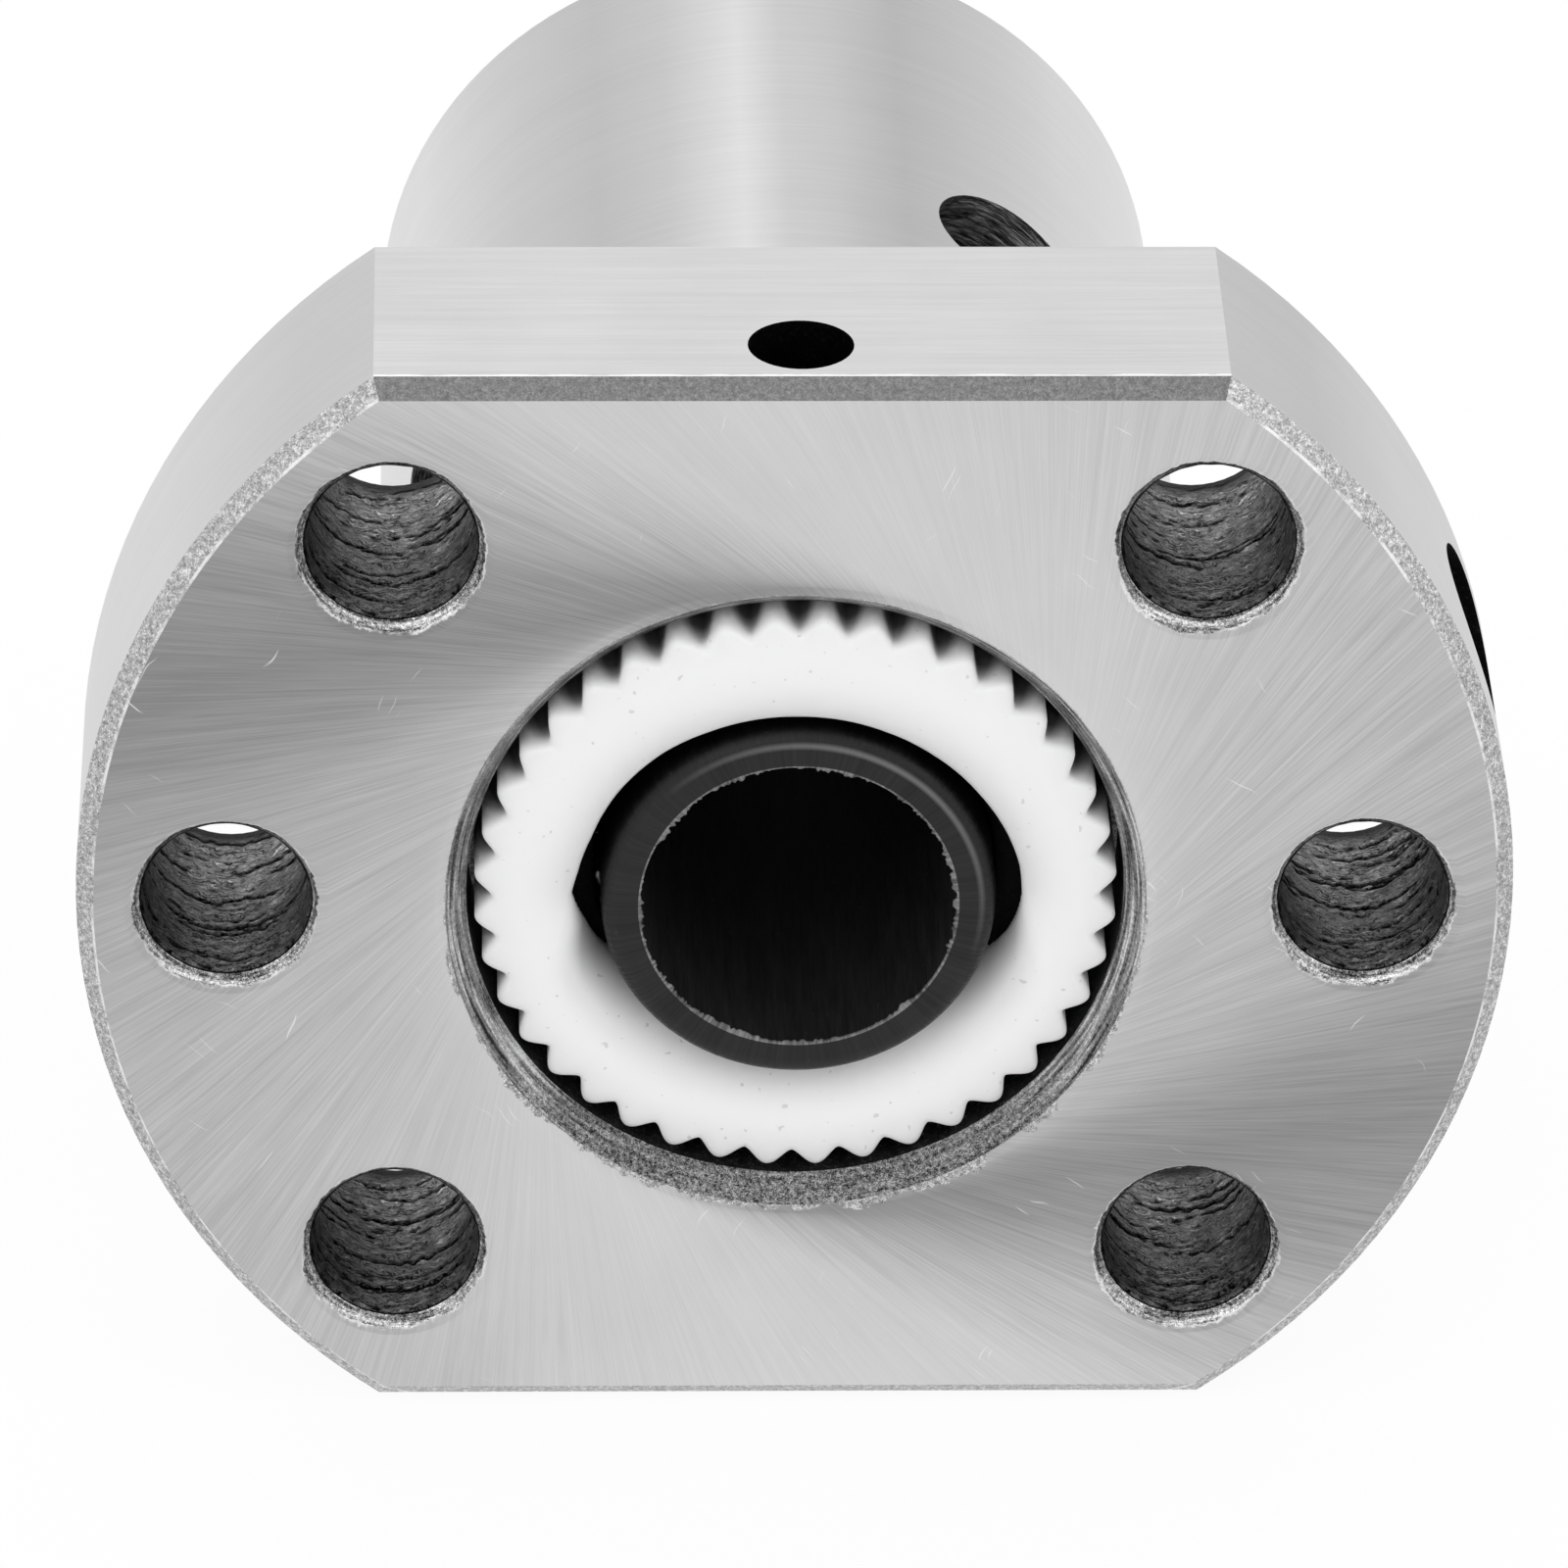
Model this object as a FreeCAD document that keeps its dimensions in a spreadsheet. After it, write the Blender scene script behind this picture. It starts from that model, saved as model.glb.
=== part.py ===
"""Flanged ball nut of a rolled ball screw, on the sleeve that it is shipped on.

Millimetres. +Z points up through the flat that carries the wiper's grub screw, the screw's
axis runs along Y, and the origin is the centre of the flange's mounting face: the flange
lies in front of it, towards -Y, and the barrel behind it, towards +Y.
"""
import FreeCAD, Part
import math
import os

import Sketcher
from FreeCAD import Placement, Rotation, Vector

os.makedirs("parts", exist_ok=True)
doc = FreeCAD.newDocument("flanged_ball_nut")

SIZES = {
    "overall_length": 45.0,
    "flange_diameter": 48.0,
    "flange_thickness": 10.0,
    "flange_flat_depth": 4.5,
    "flange_chamfer": 0.6,
    "barrel_diameter": 28.0,
    "barrel_chamfer": 0.5,
    "collar_step": 0.5,
    "bolt_circle_place": 0.5,
    "bolt_hole_diameter": 5.8,
    "bolt_hole_chamfer": 0.5,
    "bolt_spread_angle": 45.0,
    "lead": 5.0,
    "ball_diameter": 3.175,
    "ball_circle_diameter": 16.5,
    "track_clearance": 0.02,
    "track_conformity": 1.04,
    "nut_bore_diameter": 16.9,
    "seat_diameter": 22.0,
    "seat_chamfer": 0.7,
    "seat_chamfer_depth": 1.0,
    "wiper_recess": 0.45,
    "wiper_length": 4.8,
    "wiper_clearance": 0.25,
    "wiper_teeth": 40,
    "wiper_tooth_depth": 0.65,
    "wiper_ridge_clearance": 0.1175,
    "wiper_land_rise": 0.38,
    "wiper_relief_wall": 1.2,
    "wiper_crest_width": 0.7,
    "wiper_land_start": 0.95,
    "wiper_land_end": 1.6,
    "wiper_relief_start": 2.03,
    "wiper_relief_end": 3.63,
    "wiper_ridge_angle": 113.0,
    "grub_hole_diameter": 3.5,
    "grub_clearance": 0.02,
    "grub_tip_gap": 0.25,
    "grub_socket_width": 2.0,
    "grub_socket_depth": 1.5,
    "front_grub_length": 5.0,
    "rear_grub_length": 3.5,
    "oil_port_diameter": 5.0,
    "oil_port_mouth_diameter": 6.0,
    "oil_port_mouth_depth": 0.8,
    "oil_port_depth": 7.0,
    "oil_port_angle": 17.5,
    "oil_port_setback": 6.0,
    "oil_channel_diameter": 2.5,
    "balls_in_circuit": 16,
    "insert_hole_diameter": 6.3,
    "insert_clearance": 0.05,
    "insert_sink": 2.4,
    "insert_angle": 54.0,
    "insert_turn": 90.0,
    "insert_place": 15.8,
    "insert_number": 3,
    "crossover_reach": 2.2,
    "crossover_lift": 1.0,
    "channel_clearance": 0.06,
    "sleeve_clearance": 0.06,
    "sleeve_wall": 1.3,
    "sleeve_end_radius": 0.7,
}

sheet = doc.addObject("Spreadsheet::Sheet", "Sizes")
for row, (alias, amount) in enumerate(SIZES.items(), start=1):
    sheet.set(f"A{row}", alias.replace("_", " "))
    sheet.set(f"B{row}", str(amount))
    sheet.setAlias(f"B{row}", alias)
doc.recompute()

FRONT_FACE = "(-Sizes.flange_thickness)"
REAR_FACE = "(Sizes.overall_length - Sizes.flange_thickness)"
SEAT_DEPTH = "(Sizes.wiper_recess + Sizes.wiper_length)"
SEAT_RADIUS = "(Sizes.seat_diameter / 2)"
BORE_RADIUS = "(Sizes.nut_bore_diameter / 2)"
BARREL_RADIUS = "(Sizes.barrel_diameter / 2)"
COLLAR_RADIUS = f"({BARREL_RADIUS} + Sizes.collar_step)"
FLANGE_RADIUS = "(Sizes.flange_diameter / 2)"
BOLT_CIRCLE_RADIUS = f"({BARREL_RADIUS} + Sizes.bolt_circle_place * ({FLANGE_RADIUS} - {BARREL_RADIUS}))"
SEAT_MOUTH = f"({SEAT_RADIUS} + Sizes.seat_chamfer)"
THIN_WALL = f"({BARREL_RADIUS} - {SEAT_RADIUS})"
REAR_CHAMFER = f"min(Sizes.barrel_chamfer; {THIN_WALL} / 3)"
REAR_SEAT_CHAMFER = f"min(Sizes.seat_chamfer; {THIN_WALL} / 3)"
FRONT_SEAT = f"({FRONT_FACE} + {SEAT_DEPTH})"
REAR_SEAT = f"({REAR_FACE} - {SEAT_DEPTH})"
BALL_RADIUS = "(Sizes.ball_diameter / 2)"
BALL_CIRCLE_RADIUS = "(Sizes.ball_circle_diameter / 2)"
GROOVE_RADIUS = f"({BALL_RADIUS} * Sizes.track_conformity)"
GROOVE_CENTRE = f"({BALL_CIRCLE_RADIUS} + {BALL_RADIUS} + Sizes.track_clearance - {GROOVE_RADIUS})"
GRUB_PLACE = "(Sizes.wiper_recess + Sizes.wiper_length / 2)"
WIPER_RADIUS = f"({SEAT_RADIUS} - Sizes.wiper_clearance)"
WIPER_ROOT = f"({WIPER_RADIUS} - Sizes.wiper_tooth_depth)"
HALF_TOOTH = "(180 / Sizes.wiper_teeth)"
LOBE_RISE = f"({WIPER_RADIUS} - {WIPER_ROOT} * cos({HALF_TOOTH}))"
LOBE_RADIUS = f"(({LOBE_RISE}^2 + ({WIPER_ROOT} * sin({HALF_TOOTH}))^2) / (2 * {LOBE_RISE}))"
GRUB_TIP = f"({WIPER_ROOT} + Sizes.grub_tip_gap)"
GRUB_RADIUS = "(Sizes.grub_hole_diameter / 2 - Sizes.grub_clearance)"
CIRCUIT_STEP = "(Sizes.lead * (1 + Sizes.insert_turn / 360))"
FIRST_INSERT = f"(Sizes.insert_place - (Sizes.insert_number - 1) * {CIRCUIT_STEP})"
HALF_CIRCUIT = f"(Sizes.lead / 2 + {BALL_RADIUS})"
CIRCUITS = f"(1 + floor(({REAR_SEAT} - {FIRST_INSERT} - {HALF_CIRCUIT}) / {CIRCUIT_STEP}))"
CHANNEL_RADIUS = f"({BALL_RADIUS} + Sizes.channel_clearance)"
CHANNEL_CENTRE = f"({BALL_CIRCLE_RADIUS} + Sizes.crossover_lift)"
CROSSOVER_ANGLE = f"(asin(Sizes.crossover_reach / {BALL_CIRCLE_RADIUS}) / 1 deg)"
CROSSOVER_RISE = f"(Sizes.lead * (0.5 - {CROSSOVER_ANGLE} / 360))"
COUNTERSINK = 45.0
SLEEVE_RADIUS = f"({BALL_CIRCLE_RADIUS} - {BALL_RADIUS} - Sizes.sleeve_clearance)"
RIDGE_RADIUS = f"({SLEEVE_RADIUS} + Sizes.wiper_ridge_clearance)"
RELIEF_RADIUS = f"({WIPER_ROOT} - Sizes.wiper_relief_wall)"
LAND_RADIUS = f"({RIDGE_RADIUS} + Sizes.wiper_land_rise * ({RELIEF_RADIUS} - {RIDGE_RADIUS}))"


def number(expression):
    """Work an expression of the sheet's sizes out as a plain number."""
    result = sheet.evalExpression(str(expression))
    return float(getattr(result, "Value", result))


def new_body(label):
    """Start a body that carries its own label."""
    body = doc.addObject("PartDesign::Body", label)
    body.Label = label
    return body


def origin_feature(body, role):
    """Find one of a body's own origin planes or axes."""
    return next(item for item in body.Origin.OriginFeatures if item.Role == role)


def new_sketch(body, name, role, offset=None):
    """Start a sketch on an origin plane; offset maps placement paths to expressions."""
    sketch = body.newObject("Sketcher::SketchObject", name)
    sketch.AttachmentSupport = [(origin_feature(body, role), "")]
    sketch.MapMode = "FlatFace"
    for path, expression in (offset or {}).items():
        sketch.setExpression(f"AttachmentOffset.{path}", expression)
    return sketch


def radial_offset(angle, along, outward="0"):
    """Turn an XY sketch so that it faces outwards at an angle from +X, some way along Y."""
    return {
        "Rotation.Axis.x": "0",
        "Rotation.Axis.y": "1",
        "Rotation.Axis.z": "0",
        "Rotation.Angle": f"90 - ({angle})",
        "Base.x": f"({outward}) * cos({angle})",
        "Base.y": f"{along}",
        "Base.z": f"({outward}) * sin({angle})",
    }


def meridian_offset(angle):
    """Turn an XY sketch about Y so that its X axis points outwards at an angle from +X."""
    return {
        "Rotation.Axis.x": "0",
        "Rotation.Axis.y": "1",
        "Rotation.Axis.z": "0",
        "Rotation.Angle": f"-mod({angle}; 360)",
    }


def place_point(sketch, geometry, point, where):
    """Hold a point of the sketch at a pair of expressions."""
    for kind, axis, expression in zip(("DistanceX", "DistanceY"), (-2, -1), where):
        if expression == "0":
            sketch.addConstraint(Sketcher.Constraint("PointOnObject", geometry, point, axis))
            continue
        index = sketch.addConstraint(
            Sketcher.Constraint(kind, -1, 1, geometry, point, number(expression)))
        sketch.setExpression(f"Constraints[{index}]", expression)


def draw_polygon(sketch, corners):
    """Draw a closed outline whose corners are pairs of expressions."""
    points = [Vector(number(x), number(y), 0) for x, y in corners]
    first = sketch.GeometryCount
    sketch.addGeometry([Part.LineSegment(a, b) for a, b in zip(points, points[1:] + points[:1])])
    for index, corner in enumerate(corners):
        following = first + (index + 1) % len(corners)
        sketch.addConstraint(Sketcher.Constraint("Coincident", first + index, 2, following, 1))
        place_point(sketch, first + index, 1, corner)


def draw_circle(sketch, where, diameter):
    """Draw a circle round a pair of expressions."""
    centre = Vector(number(where[0]), number(where[1]), 0)
    circle = sketch.addGeometry(Part.Circle(centre, Vector(0, 0, 1), number(diameter) / 2))
    place_point(sketch, circle, 3, where)
    index = sketch.addConstraint(Sketcher.Constraint("Diameter", circle, number(diameter)))
    sketch.setExpression(f"Constraints[{index}]", diameter)


def extrude(body, kind, name, sketch, length, reverse=False, both_ways=False):
    """Pad or pocket a sketch by an expression."""
    feature = body.newObject(f"PartDesign::{kind}", name)
    feature.Profile = sketch
    feature.setExpression("Length", length)
    feature.Reversed = reverse
    feature.Midplane = both_ways
    return feature


def turn(body, kind, name, sketch, axis="Y_Axis"):
    """Revolve or groove a sketch right round one of the body's axes."""
    feature = body.newObject(f"PartDesign::{kind}", name)
    feature.Profile = sketch
    feature.ReferenceAxis = (origin_feature(body, axis), [""])
    feature.Angle = 360
    return feature


def cut_helix(body, name, sketch, height):
    """Cut a right-hand helical groove of one lead per turn along Y."""
    feature = body.newObject("PartDesign::SubtractiveHelix", name)
    feature.Profile = sketch
    feature.ReferenceAxis = (origin_feature(body, "Y_Axis"), [""])
    feature.Mode = "pitch-height-angle"
    feature.setExpression("Pitch", "Sizes.lead")
    feature.setExpression("Height", height)
    return feature


def dress_edges(body, kind, name, chosen, width):
    """Chamfer or fillet the edges of the body so far that a test chooses."""
    doc.recompute()
    base = body.Tip
    edges = [f"Edge{i}" for i, edge in enumerate(base.Shape.Edges, start=1) if chosen(edge)]
    feature = body.newObject(f"PartDesign::{kind}", name)
    feature.Base = (base, edges)
    feature.setExpression({"Chamfer": "Size", "Fillet": "Radius"}[kind], width)
    return feature


def lies_at(edge, along):
    """Tell whether an edge lies in the plane at an expression along Y."""
    return all(abs(vertex.Y - number(along)) < 1e-6 for vertex in edge.Vertexes)


def reach(edge):
    """Measure how far from the screw's axis an edge gets."""
    points = edge.discretize(9)
    return max(math.hypot(point.x, point.z) for point in points)


def outlines(edge, along, radius):
    """Tell whether an edge of the face at one place along Y gets as far out as a radius."""
    return lies_at(edge, along) and reach(edge) > number(radius) - 1e-6


def make_flange():
    """Make the flange: round with two flats, the front wiper's seat and its holes."""
    body = new_body("flange")
    outline = new_sketch(body, "flange_outline", "XZ_Plane")
    draw_circle(outline, ("0", "0"), "Sizes.flange_diameter")
    extrude(body, "Pad", "flange_disc", outline, "Sizes.flange_thickness")
    for name, side in (("top_flat", "1"), ("bottom_flat", "-1")):
        inner = f"{side} * ({FLANGE_RADIUS} - Sizes.flange_flat_depth)"
        outer = f"{side} * Sizes.flange_diameter"
        waste = new_sketch(body, f"{name}_waste", "XZ_Plane")
        draw_polygon(waste, (
            ("-Sizes.flange_diameter", inner), ("Sizes.flange_diameter", inner),
            ("Sizes.flange_diameter", outer), ("-Sizes.flange_diameter", outer)))
        extrude(body, "Pocket", name, waste, "2 * Sizes.flange_thickness", both_ways=True)
    section = new_sketch(body, "flange_bore_section", "XY_Plane")
    draw_polygon(section, (
        ("0", FRONT_FACE),
        (SEAT_MOUTH, FRONT_FACE),
        (SEAT_RADIUS, f"{FRONT_FACE} + Sizes.seat_chamfer_depth"),
        (SEAT_RADIUS, FRONT_SEAT),
        (COLLAR_RADIUS, FRONT_SEAT),
        (COLLAR_RADIUS, "0"),
        ("0", "0")))
    turn(body, "Groove", "flange_bore", section)
    dress_edges(body, "Chamfer", "flange_bevel",
                lambda edge: outlines(edge, FRONT_FACE, FLANGE_RADIUS), "Sizes.flange_chamfer")
    make_bolt_holes(body)
    make_grub_hole(body, "front_grub_hole", "90", f"{FRONT_FACE} + {GRUB_PLACE}")
    drill_oil_port(body, "oil_channel", "0", "Sizes.oil_channel_diameter")
    floor = f"{FLANGE_RADIUS} - Sizes.oil_port_depth"
    drill_oil_port(body, "oil_port", floor, "Sizes.oil_port_diameter")
    mouth = f"{FLANGE_RADIUS} - Sizes.oil_port_mouth_depth"
    drill_oil_port(body, "oil_port_mouth", mouth, "Sizes.oil_port_mouth_diameter")
    return body


def make_barrel():
    """Make the barrel: the ball track inside, the rear wiper's seat and the inserts' holes."""
    body = new_body("barrel")
    section = new_sketch(body, "barrel_section", "XY_Plane")
    draw_polygon(section, (
        (BORE_RADIUS, FRONT_SEAT),
        (COLLAR_RADIUS, FRONT_SEAT),
        (COLLAR_RADIUS, "0"),
        (BARREL_RADIUS, "0"),
        (BARREL_RADIUS, f"{REAR_FACE} - {REAR_CHAMFER}"),
        (f"{BARREL_RADIUS} - {REAR_CHAMFER}", REAR_FACE),
        (f"{SEAT_RADIUS} + {REAR_SEAT_CHAMFER}", REAR_FACE),
        (SEAT_RADIUS, f"{REAR_FACE} - {REAR_SEAT_CHAMFER}"),
        (SEAT_RADIUS, REAR_SEAT),
        (BORE_RADIUS, REAR_SEAT)))
    turn(body, "Revolution", "barrel_tube", section)
    make_ball_track(body)
    make_grub_hole(body, "rear_grub_hole", "270", f"{REAR_FACE} - {GRUB_PLACE}")
    drill_oil_port(body, "barrel_oil_channel", "0", "Sizes.oil_channel_diameter")
    make_insert_holes(body)
    return body


def make_bolt_holes(body):
    """Drill and countersink three bolt holes at each side of the flange."""
    holes = draw_bolt_circle(body, "bolt_circle", "Sizes.bolt_hole_diameter")
    extrude(body, "Pocket", "bolt_holes", holes, "Sizes.flange_thickness")
    mouths = draw_bolt_circle(body, "bolt_mouth_circle", "Sizes.bolt_hole_diameter + 2 * Sizes.bolt_hole_chamfer")
    cones = extrude(body, "Pocket", "bolt_hole_mouths", mouths, "Sizes.bolt_hole_chamfer")
    cones.TaperAngle = -COUNTERSINK


def draw_bolt_circle(body, name, diameter):
    """Draw the six bolt holes' circles on the flange's face."""
    sketch = new_sketch(body, name, "XZ_Plane", {"Base.z": "Sizes.flange_thickness"})
    for side in ("0", "180"):
        for step in ("-1", "0", "1"):
            angle = f"({side} + {step} * Sizes.bolt_spread_angle)"
            where = [f"{BOLT_CIRCLE_RADIUS} * {wave}({angle})" for wave in ("cos", "sin")]
            if step == "0":
                where[1] = "0"
            draw_circle(sketch, where, diameter)
    return sketch


def make_grub_hole(body, name, angle, along):
    """Drill a wiper's grub screw hole from its seat outwards."""
    sketch = new_sketch(body, f"{name}_circle", "XY_Plane", radial_offset(angle, along, WIPER_RADIUS))
    draw_circle(sketch, ("0", "0"), "Sizes.grub_hole_diameter")
    extrude(body, "Pocket", name, sketch, "Sizes.barrel_diameter", reverse=True)


def drill_oil_port(body, name, floor, diameter):
    """Drill one step of the oil port, from a floor at some radius out through the rim."""
    along = f"{FRONT_FACE} + Sizes.oil_port_setback"
    outward = radial_offset("Sizes.oil_port_angle", along, floor)
    sketch = new_sketch(body, f"{name}_circle", "XY_Plane", outward)
    draw_circle(sketch, ("0", "0"), diameter)
    extrude(body, "Pocket", name, sketch, FLANGE_RADIUS, reverse=True)


def make_insert_holes(body):
    """Drill a radial hole through the barrel's wall for each return insert."""
    for index in range(int(number(CIRCUITS))):
        outward = radial_offset(insert_angle(index), insert_place(index))
        sketch = new_sketch(body, f"insert_hole_{index + 1}_circle", "XY_Plane", outward)
        draw_circle(sketch, ("0", "0"), "Sizes.insert_hole_diameter")
        extrude(body, "Pocket", f"insert_hole_{index + 1}", sketch, "Sizes.barrel_diameter", reverse=True)


def make_ball_track(body):
    """Cut the helical ball track right through the bore, in step with the inserts."""
    start = f"({FRONT_SEAT} - Sizes.ball_diameter)"
    passing = f"({insert_place(0)} + Sizes.lead / 2)"
    angle = f"{insert_angle(0)} + 360 * ({passing} - {start}) / Sizes.lead"
    sketch = new_sketch(body, "track_section", "XY_Plane", meridian_offset(angle))
    draw_circle(sketch, (GROOVE_CENTRE, start), f"2 * {GROOVE_RADIUS}")
    length = f"({REAR_SEAT} - {FRONT_SEAT} + 2 * Sizes.ball_diameter)"
    cut_helix(body, "ball_track", sketch, length)


def insert_angle(index):
    """Give the angle from +X at which a return insert sits."""
    return f"(Sizes.insert_angle + (Sizes.insert_number - {index + 1}) * Sizes.insert_turn)"


def insert_place(index):
    """Give how far behind the mounting face a return insert sits."""
    return f"({FIRST_INSERT} + {index} * {CIRCUIT_STEP})"


def make_wiper(label):
    """Mould a toothed wiper ring with a helical lip, its outer face at Y = 0."""
    body = new_body(label)
    disc = new_sketch(body, f"{label}_disc", "XZ_Plane")
    draw_circle(disc, ("0", "0"), f"2 * {WIPER_ROOT}")
    extrude(body, "Pad", f"{label}_ring", disc, "Sizes.wiper_length", reverse=True)
    lobe = new_sketch(body, f"{label}_lobe", "XZ_Plane")
    centre = f"({WIPER_RADIUS} - {LOBE_RADIUS})"
    where = (f"{centre} * sin({HALF_TOOTH})", f"{centre} * cos({HALF_TOOTH})")
    draw_circle(lobe, where, f"2 * {LOBE_RADIUS}")
    tooth = extrude(body, "Pad", f"{label}_tooth", lobe, "Sizes.wiper_length", reverse=True)
    teeth = body.newObject("PartDesign::PolarPattern", f"{label}_teeth")
    teeth.Originals = [tooth]
    teeth.Axis = (origin_feature(body, "Y_Axis"), [""])
    teeth.Angle = 360
    teeth.setExpression("Occurrences", "Sizes.wiper_teeth")
    body.Tip = teeth
    hole = new_sketch(body, f"{label}_hole", "XZ_Plane")
    draw_circle(hole, ("0", "0"), f"2 * {RIDGE_RADIUS}")
    extrude(body, "Pocket", f"{label}_bore", hole, "Sizes.wiper_length")
    cut_wiper_thread(body, label)
    return body


def cut_wiper_thread(body, label):
    """Cut the helical space beside the lip that runs in the screw's thread."""
    start = "(-Sizes.lead)"
    angle = f"Sizes.wiper_ridge_angle - 360 * {start} / Sizes.lead"
    section = new_sketch(body, f"{label}_thread_section", "XY_Plane", meridian_offset(angle))
    lip = "Sizes.wiper_crest_width / 2"
    draw_polygon(section, (
        (f"{RIDGE_RADIUS} - {lip}", f"{start} + {lip}"),
        (RIDGE_RADIUS, f"{start} + {lip}"),
        (LAND_RADIUS, f"{start} + Sizes.wiper_land_start"),
        (LAND_RADIUS, f"{start} + Sizes.wiper_land_end"),
        (RELIEF_RADIUS, f"{start} + Sizes.wiper_relief_start"),
        (RELIEF_RADIUS, f"{start} + Sizes.wiper_relief_end"),
        (RIDGE_RADIUS, f"{start} + Sizes.lead - {lip}"),
        (f"{RIDGE_RADIUS} - {lip}", f"{start} + Sizes.lead - {lip}")))
    cut_helix(body, f"{label}_thread", section, "Sizes.wiper_length + Sizes.lead")


def make_grub_screw(label, length):
    """Turn a cone-point grub screw on the Z axis, its tip above the wiper's tooth gap."""
    body = new_body(label)
    section = new_sketch(body, f"{label}_section", "XZ_Plane")
    draw_polygon(section, (
        ("0", GRUB_TIP),
        (GRUB_RADIUS, f"{GRUB_TIP} + {GRUB_RADIUS}"),
        (GRUB_RADIUS, f"{GRUB_TIP} + {length}"),
        ("0", f"{GRUB_TIP} + {length}")))
    turn(body, "Revolution", f"{label}_shank", section, "Z_Axis")
    end = f"({GRUB_TIP} + {length})"
    socket = new_sketch(body, f"{label}_hexagon", "XY_Plane", {"Base.z": end})
    corner = "Sizes.grub_socket_width / 2 / cos(30)"
    angles = [f"{60 * step + 30}" for step in range(6)]
    draw_polygon(socket, [
        ("0" if angle in ("90", "270") else f"{corner} * cos({angle})", f"{corner} * sin({angle})")
        for angle in angles])
    extrude(body, "Pocket", f"{label}_socket", socket, "Sizes.grub_socket_depth")
    return body


def make_return_insert(label):
    """Make a return insert on the Z axis, with its channel across the inner end."""
    body = new_body(label)
    face = new_sketch(body, f"{label}_circle", "XY_Plane")
    draw_circle(face, ("0", "0"), "Sizes.insert_hole_diameter - 2 * Sizes.insert_clearance")
    extrude(body, "Pad", f"{label}_plug", face, f"{BARREL_RADIUS} - Sizes.insert_sink")
    bore = new_sketch(body, f"{label}_bore_circle", "XZ_Plane")
    draw_circle(bore, ("0", "0"), "Sizes.nut_bore_diameter")
    extrude(body, "Pocket", f"{label}_bore", bore, "2 * Sizes.insert_hole_diameter", both_ways=True)
    across = {
        "Rotation.Axis.x": "0",
        "Rotation.Axis.y": "1",
        "Rotation.Axis.z": "0",
        "Rotation.Angle": f"atan(Sizes.crossover_reach / {CROSSOVER_RISE})",
    }
    roof = new_sketch(body, f"{label}_roof_circle", "XZ_Plane", across)
    draw_circle(roof, ("0", CHANNEL_CENTRE), f"2 * {CHANNEL_RADIUS}")
    extrude(body, "Pocket", f"{label}_roof", roof, "2 * Sizes.insert_hole_diameter", both_ways=True)
    walls = new_sketch(body, f"{label}_wall_section", "XZ_Plane", across)
    draw_polygon(walls, (
        (f"-{CHANNEL_RADIUS}", "0"), (CHANNEL_RADIUS, "0"),
        (CHANNEL_RADIUS, CHANNEL_CENTRE), (f"-{CHANNEL_RADIUS}", CHANNEL_CENTRE)))
    extrude(body, "Pocket", f"{label}_walls", walls, "2 * Sizes.insert_hole_diameter", both_ways=True)
    return body


def make_ball_circuit(index):
    """Fill one closed circuit: a ball in mid crossover and the rest along the track."""
    label = f"ball_circuit_{index + 1}"
    count = int(number("Sizes.balls_in_circuit"))
    balls = []
    for step in range(count):
        share = f"{step - 1} / (Sizes.balls_in_circuit - 2)"
        travel = f"({CROSSOVER_ANGLE} + (360 - 2 * {CROSSOVER_ANGLE}) * {share})"
        angle = f"({insert_angle(index)} + {travel})"
        along = f"{insert_place(index)} + Sizes.lead * (0.5 - {travel} / 360)"
        radius = BALL_CIRCLE_RADIUS
        if step == 0:
            angle, along, radius = insert_angle(index), insert_place(index), CHANNEL_CENTRE
        ball = doc.addObject("Part::Sphere", f"{label}_ball_{step + 1}")
        ball.setExpression("Radius", BALL_RADIUS)
        ball.setExpression("Placement.Base.x", f"{radius} * cos({angle})")
        ball.setExpression("Placement.Base.y", along)
        ball.setExpression("Placement.Base.z", f"{radius} * sin({angle})")
        balls.append(ball)
    circuit = doc.addObject("Part::Compound", label)
    circuit.Label = label
    circuit.Links = balls
    return circuit


def make_sleeve():
    """Turn the plastic sleeve that keeps the balls in the nut until it meets its screw."""
    body = new_body("shipping_sleeve")
    section = new_sketch(body, "sleeve_section", "XY_Plane")
    inner = f"({SLEEVE_RADIUS} - Sizes.sleeve_wall)"
    draw_polygon(section, (
        (inner, FRONT_FACE), (SLEEVE_RADIUS, FRONT_FACE), (SLEEVE_RADIUS, REAR_FACE), (inner, REAR_FACE)))
    turn(body, "Revolution", "sleeve_tube", section)
    dress_edges(body, "Fillet", "sleeve_ends",
                lambda edge: any(outlines(edge, end, SLEEVE_RADIUS) for end in (FRONT_FACE, REAR_FACE)),
                "Sizes.sleeve_end_radius")
    return body


def stand_radially(piece, angle, along="0"):
    """Swing a piece made on the Z axis round to an angle from +X, some way along Y."""
    piece.Placement = Placement(Vector(0, number(along), 0), Rotation(Vector(0, 1, 0), 90 - number(angle)))


def make_wipers():
    """Seat a wiper in each end, the rear one turned to the same thread as the front one."""
    front = make_wiper("front_wiper")
    front.Placement.Base = Vector(0, number(f"{FRONT_FACE} + Sizes.wiper_recess"), 0)
    rear = make_wiper("rear_wiper")
    apart = "(Sizes.overall_length - 2 * Sizes.wiper_recess)"
    wanted = number(f"Sizes.wiper_ridge_angle - 360 * {apart} / Sizes.lead")
    flipped = number("180 - Sizes.wiper_ridge_angle")
    pitch = number("360 / Sizes.wiper_teeth")
    spin = round((wanted - flipped) / pitch) * pitch
    about = Rotation(Vector(0, 1, 0), -spin).multiply(Rotation(Vector(0, 0, 1), 180))
    rear.Placement = Placement(Vector(0, number(f"{REAR_FACE} - Sizes.wiper_recess"), 0), about)
    return [front, rear]


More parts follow.
